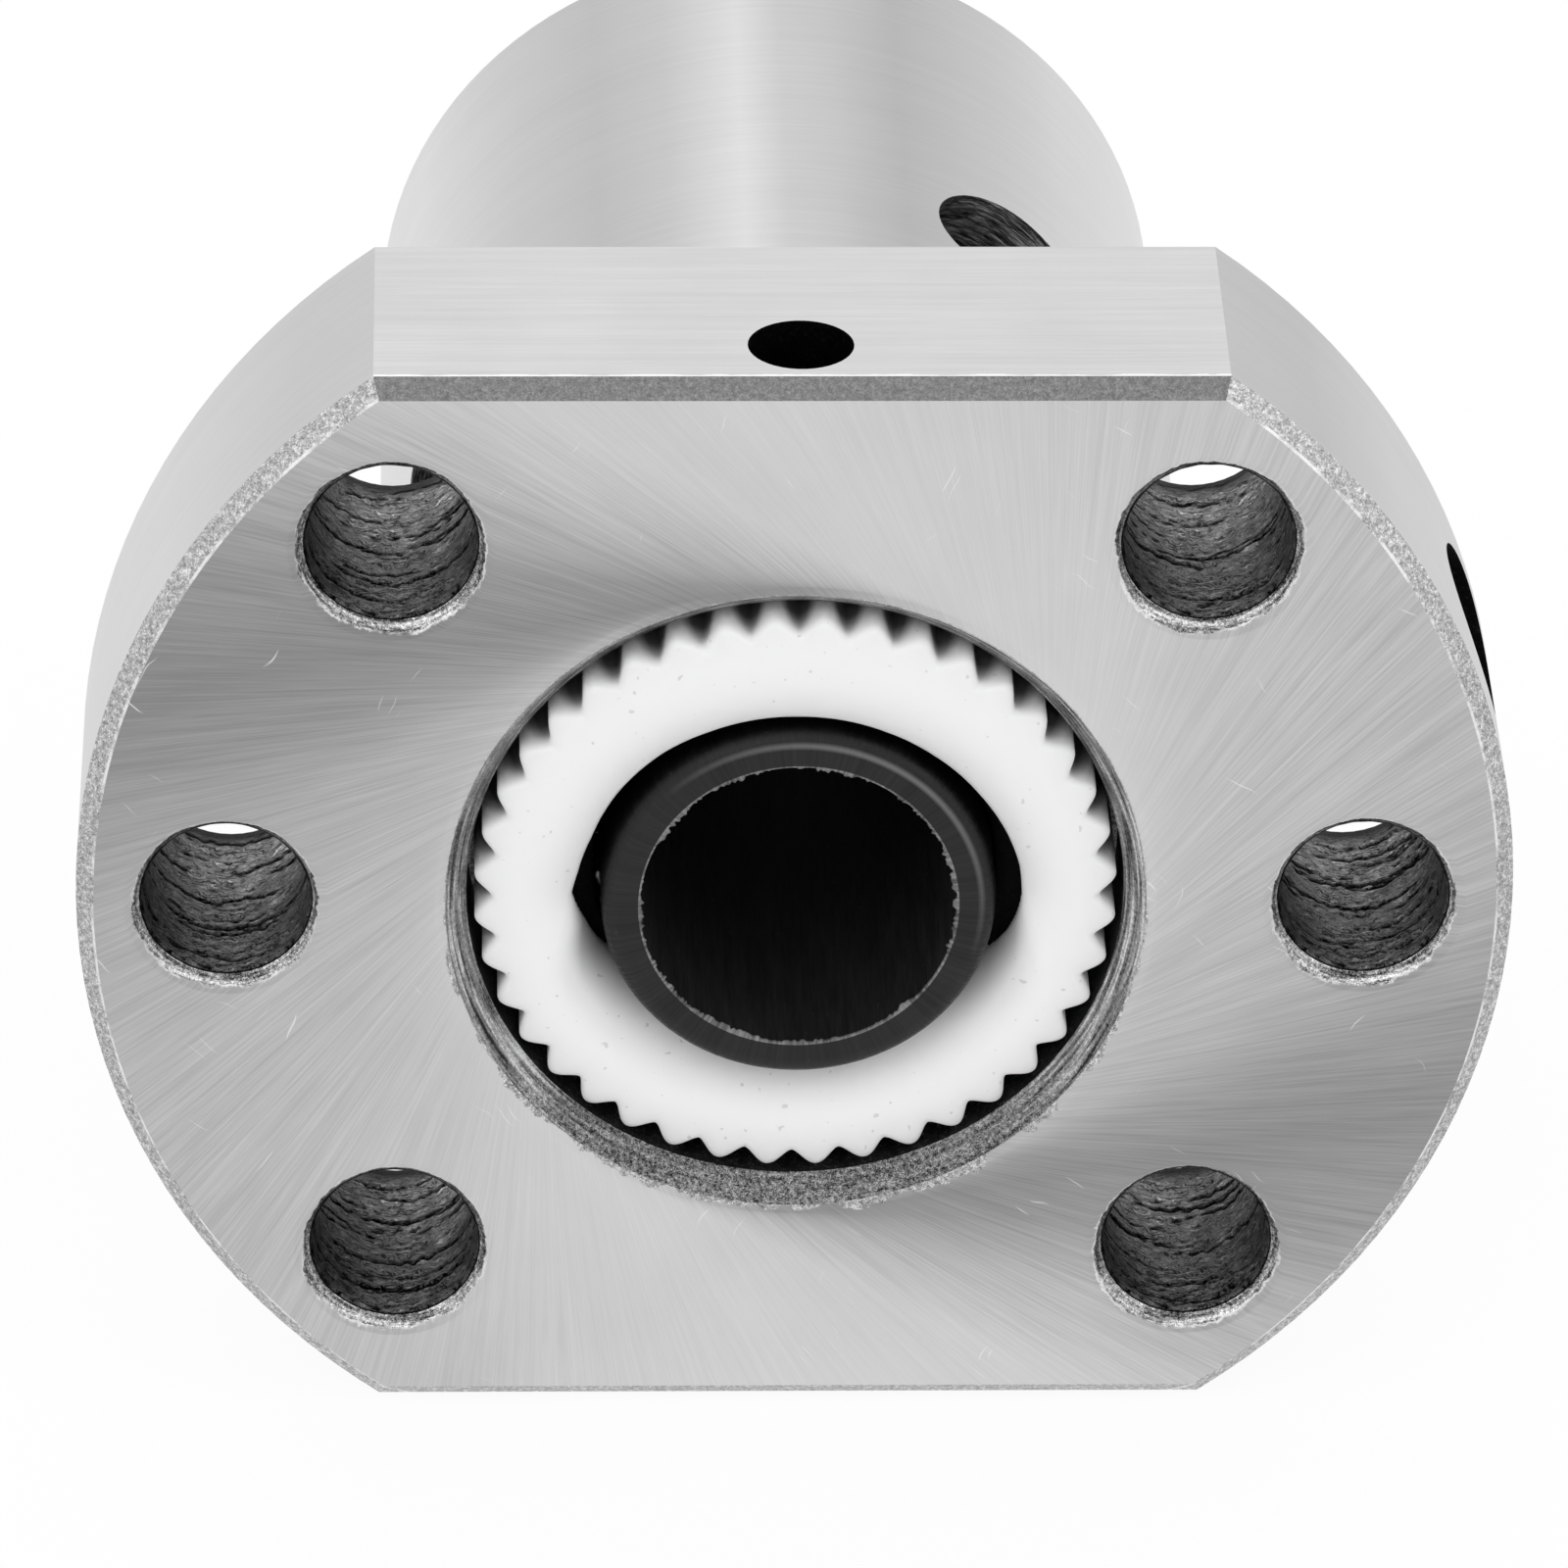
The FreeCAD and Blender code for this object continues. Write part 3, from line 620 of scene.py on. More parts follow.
@dataclass(frozen=True)
class DrilledWall(Finish):
    """A drilled hole's wall: grey steel under short jagged strokes, painted black as shade where it is
    gouged and painted darker as shade to the left and right.
    """

    radius: float = 2.9
    depth: float = 0.11
    bump: float = 0.07

    def colour(self, w: Wiring, point: Socket) -> Look:
        """Stroke the wall round its axis, paint black shade on what lies deeper than the bored surface and
        paint shade towards the left and right.
        """
        x, y, z = w.parts(point)
        radius = w.reach(x, z)
        # Painted shade: the gouges, deeper than the bored surface, go black.
        deep = w.spread(radius, self.radius - self.depth, self.radius - 0.25 * self.depth)
        sway = w.times(w.noise(point, 1.1, 3.0, 0.6), 1.5)
        place = w.vector("MULTIPLY", w.point(x, w.plus(y, sway), z), (1.6, 10.5, 1.6))
        strokes = w.noise(place, 1.0, 4.0, 0.7)
        torn = w.effect("torn_metal", point=point, grain=0.10)
        both = w.mix(strokes, torn["Height"], 0.34)
        plain = w.ramp(
            w.spread(both, 0.37, 0.63),
            ((0.0, 0.03), (0.30, 0.07), (0.40, 0.44), (0.60, 0.56), (0.80, 0.66), (1.0, 0.95)))
        # Painted shade: the wall darkens towards its left and right.
        left, right = w.spread(x, -2.6, -1.0, 0.35, 1.0), w.spread(x, 1.7, 2.7, 1.0, 0.6)
        sides = w.times(left, right)
        side_shaded = w.shade(plain, sides)
        return w.tint(deep, side_shaded, grey(0.03)), None, both


@dataclass(frozen=True)
class GougedWall(Finish):
    """The wall of a hole drilled from the barrel inwards, gouged along its rings."""

    level: float = 0.45
    bump: float = 0.08

    def colour(self, w: Wiring, point: Socket) -> Look:
        """Lay gouges at steady depths below the barrel's surface."""
        x, y, z = w.parts(point)
        radius = w.reach(x, z)
        place = w.vector("MULTIPLY", w.point(radius, y, x), (4.5, 0.9, 0.9))
        gouges = w.noise(place, 1.0, 4.0, 0.65)
        base = w.ramp(
            w.spread(gouges, 0.36, 0.64),
            ((0.0, 0.10), (0.5, self.level), (1.0, self.level + 0.25)))
        return base, None, gouges


@dataclass(frozen=True)
class PlainDark(Finish):
    """Black or dark steel with a fine tooth, as on screws; it also stands for painted shade on the walls of
    small holes, on the wiper's seat and inside the wipers.
    """

    level: float = 0.12

    def colour(self, w: Wiring, point: Socket) -> Look:
        """Fleck a dark grey lightly."""
        torn = w.effect("torn_metal", point=point, grain=0.1)
        stops = ((0.0, self.level * 0.5), (0.8, self.level), (1.0, self.level * 1.9))
        base = w.ramp(torn["Flecks"], stops)
        return base, None, torn["Height"]


@dataclass(frozen=True)
class WiperPlastic(Finish):
    """White moulded plastic, with painted shade between its teeth and beside the screw."""

    sink: float = 0.46
    lean: float = 0.041
    tip_radius: float = 10.75
    relief_radius: float = 9.4
    bump: float = 0.02

    def colour(self, w: Wiring, point: Socket) -> Look:
        """Vary the white a little, paint shade in the gaps between teeth, wider as they go deeper, and
        paint shadow on the bowl near the sleeve.
        """
        x, y, z = w.parts(point)
        depth = w.minus(y, w.minus(self.sink, w.times(z, self.lean)))
        radius = w.reach(x, z)
        below_tip = w.minus(self.tip_radius, radius)
        # Painted shade: the gaps between the teeth darken as they go deeper.
        gap = w.spread(w.plus(below_tip, w.times(depth, 0.16)), 0.30, 0.62)
        between = w.times(gap, w.spread(depth, 0.15, 1.5, 0.0, 0.80))
        outside = w.times(between, w.math("GREATER_THAN", radius, self.relief_radius))
        cloud = w.effect("cloud", point=point, size=3.0, low=0.98, high=1.01)["Tone"]
        specks = w.spread(w.noise(point, 4.2, 0.0, 0.5), 0.80, 0.84, 0.0, 0.35)
        white = w.shade(grey(0.975), cloud)
        # Painted shadow: the bowl darkens near the sleeve, below the axis.
        near = w.times(w.spread(radius, 6.9, 8.1, 0.85, 0.0), w.spread(z, -6.0, -2.5))
        shaded = w.times(near, w.spread(depth, 0.10, 0.60))
        painted_shade = w.math("MAXIMUM", outside, shaded)
        base = w.tint(painted_shade, w.tint(specks, white, grey(0.6)), grey(0.10))
        return base, None, w.noise(point, 1.1, 2.0, 0.5)


@dataclass(frozen=True)
class SleevePlastic(Finish):
    """Black extruded plastic whose end is streaked by the saw, with a painted highlight and painted shade
    at its rounded edge.
    """

    dark: float = 0.05
    light: float = 0.16
    highlight_radius: float = 6.12
    bump: float = 0.02

    def colour(self, w: Wiring, point: Socket) -> Look:
        """Streak the black across its wall, dust it, paint shade on the rounded edge and a highlight arc at
        the upper right.
        """
        x, y, z = w.parts(point)
        radius = w.reach(x, z)
        place = w.circling(x, z, 40.0, w.times(y, 0.5))
        streaks = w.effect("tool_lines", place=place, broad=0.4)["Lines"]
        dust = w.spread(w.noise(point, 6.0, 0.0, 0.5), 0.80, 0.83, 0.0, 0.3)
        dull = w.ramp(streaks, ((0.0, self.dark), (1.0, self.light)))
        # Painted shade: the rounded outer edge of the end goes darker.
        deep = w.spread(radius, self.highlight_radius + 0.05, self.highlight_radius + 0.3, 0.0, 0.7)
        # Painted highlight: a bright arc at the upper right, along the start of the rounding.
        off = w.math("ABSOLUTE", w.minus(radius, self.highlight_radius))
        along = w.spread(w.plus(w.times(x, 0.6), z), 1.5, 7.0, 0.0, 0.34)
        arc = w.times(w.spread(off, 0.02, 0.14, 1.0, 0.0), along)
        highlighted = w.tint(arc, w.tint(deep, dull, grey(0.02)), grey(0.62))
        base = w.tint(dust, highlighted, grey(self.light + 0.1))
        return base, w.spread(streaks, 0.0, 1.0, self.roughness - 0.06, self.roughness + 0.08), streaks


@dataclass(frozen=True)
class BallSteel(Finish):
    """Polished bearing steel with a breath of oil."""

    def colour(self, w: Wiring, point: Socket) -> Look:
        """Vary a bright grey very slightly."""
        cloud = w.effect("cloud", point=point, size=1.2, low=0.96, high=1.02)["Tone"]
        smear = w.noise(point, 1.5, 2.0, 0.5)
        base = w.shade(grey(0.86), cloud)
        return base, w.spread(smear, 0.3, 0.7, 0.08, 0.2), smear


GROUND = GroundFace("ground_face", roughness=0.38)
BOLT_WALL = DrilledWall("drilled_wall", roughness=0.5)
SCREW_BLACK = PlainDark("black_oxide", roughness=0.45, level=0.13)
INSERT_STEEL = PlainDark("sintered_steel", roughness=0.5, level=0.42)
WIPER = WiperPlastic("wiper_white", roughness=0.42, metallic=0.0, glow=1.0)
# Painted shade for the wipers' inside behind the lip.
WIPER_INSIDE_SHADE = PlainDark("wiper_inside_shade", roughness=0.7, metallic=0.0, specular=0.1, level=0.07)
SLEEVE = SleevePlastic("sleeve_black", roughness=0.42, metallic=0.0, specular=0.28, light=0.13)
SLEEVE_BORE = SleevePlastic("sleeve_bore", roughness=0.7, metallic=0.0, specular=0.05, dark=0.10)
SLEEVE_BURR = SleevePlastic("sleeve_burr", roughness=0.5, metallic=0.0, specular=0.3, dark=0.20, light=0.55)
BALLS = BallSteel("ball_steel", roughness=0.12)


class Region(Enum):
    """The finish of each kind of surface on the nut's steel."""

    FACE = GROUND
    # The rim's and the barrel's bands are painted reflections.
    RIM = TurnedSteel("turned_rim", roughness=0.36, rings=0.03, bands=(
        (0.0, 0.80), (0.19, 0.78), (0.25, 0.73), (0.40, 0.78),
        (0.60, 0.79), (0.74, 0.77), (0.84, 0.82), (1.0, 0.81)))
    BARREL = TurnedSteel("turned_barrel", roughness=0.30, rings=0.03, bands=(
        (0.0, 0.84), (0.24, 0.80), (0.32, 0.745), (0.40, 0.695), (0.455, 0.75),
        (0.495, 0.765), (0.53, 0.84), (0.56, 0.80), (0.59, 0.755), (0.65, 0.725),
        (0.74, 0.77), (0.85, 0.83), (1.0, 0.84)))
    FLAT = MilledFlat("milled_flat", roughness=0.40)
    RIM_EDGE = RimBevel("torn_rim_bevel", roughness=0.45, dark=0.52, light=0.94, grain=0.10)
    FLAT_EDGE = TornEdge("flat_bevel", roughness=0.5, dark=0.42, light=0.60, grain=0.10, bump=0.02)
    HOLE_EDGE = HoleBevel("torn_hole_bevel", roughness=0.42)
    SEAT_EDGE = RingedEdge("ringed_seat_bevel", roughness=0.45)
    INSERT_WALL = GougedWall("gouged_wall", roughness=0.42)
    # Painted shade: the seat's wall and the small holes' walls are painted dark.
    SEAT_WALL = PlainDark("shaded_seat_wall", roughness=0.5, level=0.30)
    SMALL_HOLE = PlainDark("shaded_small_hole_wall", roughness=0.6, level=0.10)


def paint(node: bpy.types.Object, finish: Finish) -> None:
    """Give a CAD node one finish all over."""
    node.data.materials.clear()
    node.data.materials.append(finish.material())


def paint_regions(node: bpy.types.Object, choose: Callable[[Vector, Vector], Region]) -> None:
    """Give each face of a CAD node the finish of the region that it lies in.

    Args:
        node: the CAD node's object.
        choose: takes a face's centre in millimetres and its normal, and returns a Region.
    """
    regions = list(Region)
    node.data.materials.clear()
    for region in regions:
        node.data.materials.append(region.value.material())
    places = {region: index for index, region in enumerate(regions)}
    for face in node.data.polygons:
        face.material_index = places[choose(face.center / MM, face.normal)]


def stand(name: str, data: bpy.types.ID) -> bpy.types.Object:
    """Make an object of a mesh, lamp or camera and put it in the scene."""
    made = bpy.data.objects.new(name, data)
    bpy.context.scene.collection.objects.link(made)
    return made


def torus_mesh(name: str, points: np.ndarray, finish: Finish) -> bpy.types.Object:
    """Make a closed piece from sections set round an axis.

    Args:
        name: the piece's name.
        points: sections by points by 3, in millimetres; both ways close on themselves.
        finish: what it is made of.

    Returns:
        The new object, smooth-shaded.
    """
    turns, steps, _ = points.shape
    index = np.arange(turns * steps).reshape(turns, steps)
    ahead, beside = np.roll(index, -1, 0), np.roll(index, -1, 1)
    both = np.roll(ahead, -1, 1)
    faces = np.stack([index, ahead, both, beside], -1).reshape(-1, 4)
    a, b, c, d = (points.reshape(-1, 3)[faces[:, k]] for k in range(4))
    volume = np.einsum("ij,ij->i", a, np.cross(b, c)).sum() + np.einsum("ij,ij->i", a, np.cross(c, d)).sum()
    if volume < 0:
        faces = faces[:, ::-1]
    mesh = bpy.data.meshes.new(name)
    mesh.from_pydata((points.reshape(-1, 3) * MM).tolist(), [], faces.tolist())
    mesh.polygons.foreach_set("use_smooth", [True] * len(mesh.polygons))
    mesh.update()
    mesh.materials.append(finish.material())
    return stand(name, mesh)


def ripple(turn: np.ndarray, seed: int, lowest: int, highest: int) -> np.ndarray:
    """Wander smoothly round a full turn, about -1 to 1, the same each run.

    Args:
        turn: angles in radians.
        seed: picks the pattern.
        lowest: fewest waves in a turn.
        highest: most waves in a turn.

    Returns:
        A value for each angle.
    """
    rng = np.random.default_rng(seed)
    waves = np.arange(lowest, highest + 1)
    size = rng.normal(size=len(waves)) / np.sqrt(len(waves))
    shift = rng.uniform(0, 2 * np.pi, len(waves))
    return np.tensordot(np.cos(np.multiply.outer(turn, waves) + shift), size, axes=([-1], [0]))


@dataclass
class Flange:
    """The round flange with two flats, six bolt holes and the front wiper's seat."""

    thickness: float = 10.0
    rim_radius: float = 24.0
    flat_height: float = 19.5
    seat_radius: float = 11.0
    bolt_circle: float = 19.0
    bolt_radius: float = 2.9
    bolt_bevel: float = 0.5
    gouge_depth: float = 0.11
    lining_gap: float = 0.002
    edge_reach: float = 0.62
    rim_bevel: float = 0.7
    seat_bevel: tuple[float, float] = (0.72, 1.02)
    bolt_angles: tuple[float, ...] = (0.0, 45.0, 135.0, 180.0, 225.0, 315.0)
    strokes_each: tuple[int, int] = (34, 44)

    def region(self, centre: Vector, normal: Vector) -> Region:
        """Tell which surface of the flange a face belongs to."""
        x, y, z = centre
        radius = math.hypot(x, z)
        if abs(normal.y) > 0.99 and min(y + self.thickness, -y) < TOUCH:
            return Region.FACE
        if abs(abs(z) - self.flat_height) < TOUCH and abs(normal.z) > 0.99:
            return Region.FLAT
        if radius > self.rim_radius - 0.1 and abs(normal.y) < 0.1:
            return Region.RIM
        wide, deep = self.seat_bevel
        if radius < self.seat_radius + wide and y < -self.thickness + deep and abs(normal.y) > 0.3:
            return Region.SEAT_EDGE
        if y < -self.thickness + self.edge_reach and abs(normal.y) > 0.3:
            if abs(z) > self.flat_height - self.edge_reach and abs(normal.z) > 0.69 and abs(normal.x) < 0.1:
                return Region.FLAT_EDGE if z > 0 else Region.RIM_EDGE
            if radius > self.rim_radius - self.rim_bevel:
                return Region.RIM_EDGE
            return Region.HOLE_EDGE
        if radius < self.seat_radius + 0.05:
            return Region.SEAT_WALL
        return Region.SMALL_HOLE

    def dress(self, node: bpy.types.Object) -> None:
        """Finish the CAD flange surface by surface."""
        paint_regions(node, self.region)

    def bolt_wall(self, number: int, angle: float) -> bpy.types.Object:
        """Line a bolt hole with its drilled wall, gouged in short jagged strokes.

        Args:
            number: the hole's number, which also picks its pattern.
            angle: where the hole is, in degrees from +X.

        Returns:
            The lining, in its own frame at the hole's axis.
        """
        rng = np.random.default_rng(40 + number)
        turns, steps = 180, 150
        turn = np.linspace(0, 2 * np.pi, turns, endpoint=False)
        y = np.linspace(-self.thickness + self.bolt_bevel, -0.01, steps)
        grid_turn, grid_y = np.meshgrid(turn, y, indexing="ij")
        deep, deepest = self.gouge_depth, self.bolt_radius - 2 * self.lining_gap
        uneven = 0.012 * ripple(grid_turn, 60 + number, 3, 30) * np.cos(grid_y * 2.1)
        inner = self.bolt_radius - deep + uneven
        cut = np.zeros_like(inner)
        for stroke in range(rng.integers(*self.strokes_each)):
            at = rng.uniform(y[0] + 0.3, y[-1] - 0.2)
            towards = rng.uniform(0, 2 * np.pi)
            short = rng.uniform(0.45, 0.93)
            bend, jag = 100 * number + stroke, 100 * number + stroke + 50
            sway = 0.10 * ripple(turn, bend, 3, 9) + 0.06 * ripple(turn, jag, 12, 45)
            frayed = 0.5 * ripple(turn, 7 * number + stroke, 8, 40)
            along = np.clip(4 * (np.cos(turn - towards) - short) + frayed, 0, 1)
            width = rng.uniform(0.035, 0.085)
            trough = np.exp(-(((grid_y - at - sway[:, None]) / width) ** 2))
            cut = np.maximum(cut, trough * along[:, None])
        inner = np.minimum(inner + deep * cut * 0.97, deepest)
        ends = np.clip((grid_y - y[0]) / 0.12, 0, 1) * np.clip((y[-1] - grid_y) / 1.5, 0, 1)
        inner = inner * ends + deepest * (1 - ends)
        wall = np.stack([inner * np.cos(grid_turn), grid_y, inner * np.sin(grid_turn)], -1)
        shell = self.bolt_radius - self.lining_gap
        back = np.stack([shell * np.cos(grid_turn), grid_y, shell * np.sin(grid_turn)], -1)[:, [-1, 0]]
        lining = torus_mesh(f"bolt_hole_wall_{number}", np.concatenate([wall, back], 1), BOLT_WALL)
        a = math.radians(angle)
        lining.location = (self.bolt_circle * math.cos(a) * MM, 0.0, self.bolt_circle * math.sin(a) * MM)
        return lining

    def build(self, nodes: dict[str, bpy.types.Object]) -> None:
        """Dress the flange and line its bolt holes."""
        self.dress(nodes["flange"])
        for number, angle in enumerate(self.bolt_angles, start=1):
            lining = self.bolt_wall(number, angle)
            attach(lining, "nut")
        log.info("flange: dressed, with %d drilled walls", len(self.bolt_angles))


@dataclass
class Barrel:
    """The barrel behind the flange, with the ball track inside."""

    length: float = 35.0
    radius: float = 14.0
    bore_radius: float = 8.45
    seat_radius: float = 11.0
    shoulders: tuple[float, ...] = (-4.75, 0.0, 29.75, 35.0)
    edge_reach: float = 0.62
    track_depth: float = 1.5

    def region(self, centre: Vector, normal: Vector) -> Region:
        """Tell which surface of the barrel a face belongs to."""
        x, y, z = centre
        radius = math.hypot(x, z)
        outward = (normal.x * x + normal.z * z) / max(radius, 1e-6)
        if abs(normal.y) > 0.99 and min(abs(y - level) for level in self.shoulders) < TOUCH:
            return Region.FACE
        if radius > self.radius - 0.03 and outward > 0.98:
            return Region.BARREL
        if y > self.length - self.edge_reach and abs(normal.y) > 0.3:
            return Region.RIM if outward > 0 else Region.SEAT_EDGE
        if radius < self.bore_radius + self.track_depth and outward < -0.2:
            return Region.RIM
        if abs(radius - self.seat_radius) < 0.03 and outward < -0.9:
            return Region.SEAT_WALL
        return Region.INSERT_WALL

    def build(self, nodes: dict[str, bpy.types.Object]) -> None:
        """Dress the CAD barrel surface by surface."""
        paint_regions(nodes["barrel"], self.region)
        log.info("barrel: dressed")


@dataclass
class Wiper:
    """A white plastic wiper: forty soft teeth outside, a lip round the screw inside.

    It sits a little askew in its seat: its face lies flush at the top and deeper below.
    """

    name: str
    node: str
    rear: bool = False
    tip_radius: float = 10.75
    tooth_height: float = 0.58
    tooth_edge: float = 0.30
    teeth: int = 40
    floor: float = 5.22
    sink: float = 0.46
    lean: float = 0.041
    edge: float = 0.15
    lip_radius: float = 6.78
    bowl_radius: float = 9.25
    bowl_depth: float = 1.8
    lip: tuple[tuple[float, float], ...] = (
        (-45, 6.78), (-30, 7.05), (-15, 7.38), (0, 7.56), (9, 7.56), (18, 7.45), (33, 7.25), (51, 7.10),
        (66, 7.03), (90, 7.00), (114, 7.05), (128, 7.15), (146, 7.20), (161, 7.20), (172, 7.32),
        (179, 7.46), (190, 7.10), (200, 6.95), (210, 6.78))
    front_face: float = -10.0
    rear_face: float = 35.0
    rear_turn: float = 207.0
    floor_fade: tuple[float, float] = (94.0, 58.0)
    bowl_fade: tuple[float, float] = (95.0, 60.0)
    relief: float = 0.9

    def outer(self, turn: np.ndarray) -> np.ndarray:
        """Give the toothed edge's radius at each angle."""
        wave = (1 + np.cos(self.teeth * turn + np.pi)) / 2
        return self.tip_radius - self.tooth_height * (1 - wave**0.8)

    def lower(self, turn: np.ndarray, start: float, full: float) -> np.ndarray:
        """Fade in from 0 to 1 towards the wiper's bottom.

        Args:
            turn: angles in radians.
            start: degrees away from the bottom at which it starts.
            full: degrees away from the bottom at which it is 1.

        Returns:
            The share at each angle.
        """
        away = np.abs((np.degrees(turn) + 270) % 360 - 180)
        share = np.clip((start - away) / (start - full), 0, 1)
        return share * share * (3 - 2 * share)

    def bowl_floor(self, turn: np.ndarray) -> np.ndarray:
        """Give the depth behind the face at which the inside reaches the lip."""
        plain = self.edge + 0.1
        return plain + self.lower(turn, *self.floor_fade) * (self.bowl_depth - plain)

    def inner(self, turn: np.ndarray, depth: np.ndarray) -> np.ndarray:
        """Give the inside's radius at each angle and each depth behind the wiper's face.

        Below, the face bends smoothly into a bowl that runs down to the lip; above, it ends at
        a plain edge with a relief behind it.
        """
        degrees = (np.degrees(turn) + 140) % 360 - 140
        bowl = self.lower(turn, *self.bowl_fade)
        lip = np.interp(degrees, *zip(*self.lip))
        rim = lip + bowl * (self.bowl_radius - lip)
        floor = self.bowl_floor(turn)
        share = np.clip(depth / floor, 0, 1)
        front = rim - (rim - lip) * (0.55 * np.sqrt(share * (2 - share)) + 0.45 * share)
        relief = (1 - bowl) * self.relief * np.clip((depth - floor) / 0.6, 0, 1)
        closing = np.clip((depth - 1.7) / 0.5, 0, 1)
        closed = (front + relief) * (1 - closing) + self.lip_radius * closing
        return closed + self.relief * np.clip((depth - 3.3) / 1.0, 0, 1)

    def sections(self) -> np.ndarray:
        """Lay the wiper out as sections round its axis, the flange's face at Y = 0."""
        per_tooth = 24
        turn = np.linspace(0, 2 * np.pi, self.teeth * per_tooth, endpoint=False)
        outside, soft, blunt = self.outer(turn), self.edge, self.tooth_edge
        columns = []

        def column(radius: np.ndarray, depth: float) -> None:
            """Add one line of points round the wiper, sunk behind its leaning face."""
            x, z = radius * np.cos(turn), radius * np.sin(turn)
            face = self.sink - self.lean * z
            columns.append(np.stack([x, face + depth * (self.floor - face), z], -1))

        whole = self.floor - self.sink
        arc = np.linspace(0, np.pi / 2, 6)
        for share in np.linspace(1, 0, 14):
            column(outside, blunt / whole + share * (1 - 2 * blunt / whole))
        for a in arc[1:]:
            column(outside - blunt * (1 - np.cos(a)), blunt * (1 - np.sin(a)) / whole)
        shallow, lip = outside - blunt, self.inner(turn, np.zeros_like(turn)) + soft
        for share in np.linspace(0, 1, 14)[1:]:
            column(shallow + share * (lip - shallow), 0.0)
        for a in arc[1:]:
            depth = soft * (1 - np.cos(a))
            column(self.inner(turn, np.full_like(turn, depth)) + soft * (1 - np.sin(a)), depth / whole)
        for depth in np.linspace(soft, whole - soft, 50)[1:]:
            column(self.inner(turn, np.full_like(turn, depth)), depth / whole)
        for a in arc[1:]:
            depth = whole - soft * (1 - np.sin(a))
            column(self.inner(turn, np.full_like(turn, depth)) + soft * (1 - np.cos(a)), depth / whole)
        lip = self.inner(turn, np.full_like(turn, whole)) + soft
        for share in np.linspace(0, 1, 8)[1:]:
            column(lip + share * (shallow - lip), 1.0)
        for a in arc[1:-1]:
            column(outside - blunt * (1 - np.sin(a)), 1 - blunt * (1 - np.cos(a)) / whole)
        return np.stack(columns, 1)

    def darken_inside(self, piece: bpy.types.Object) -> None:
        """Give what lies behind the lip a dark finish, as painted shade."""
        piece.data.materials.append(WIPER_INSIDE_SHADE.material())
        for face in piece.data.polygons:
            x, y, z = face.center / MM
            depth = y - self.sink + self.lean * z
            if math.hypot(x, z) < self.bowl_radius and depth > self.bowl_floor(math.atan2(z, x)) + 0.12:
                face.material_index = 1

    def build(self) -> None:
        """Mould the wiper and stand it in for its CAD node."""
        piece = torus_mesh(self.name, self.sections(), WIPER)
        self.darken_inside(piece)
        if self.rear:
            about = Matrix.Rotation(math.radians(self.rear_turn), 4, "Y") @ Matrix.Rotation(math.pi, 4, "Z")
            piece.matrix_world = Matrix.Translation((0.0, self.rear_face * MM, 0.0)) @ about
        else:
            piece.location = (0.0, self.front_face * MM, 0.0)
        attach(piece, "nut")
        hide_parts(self.node)
        log.info("%s: moulded", self.name)


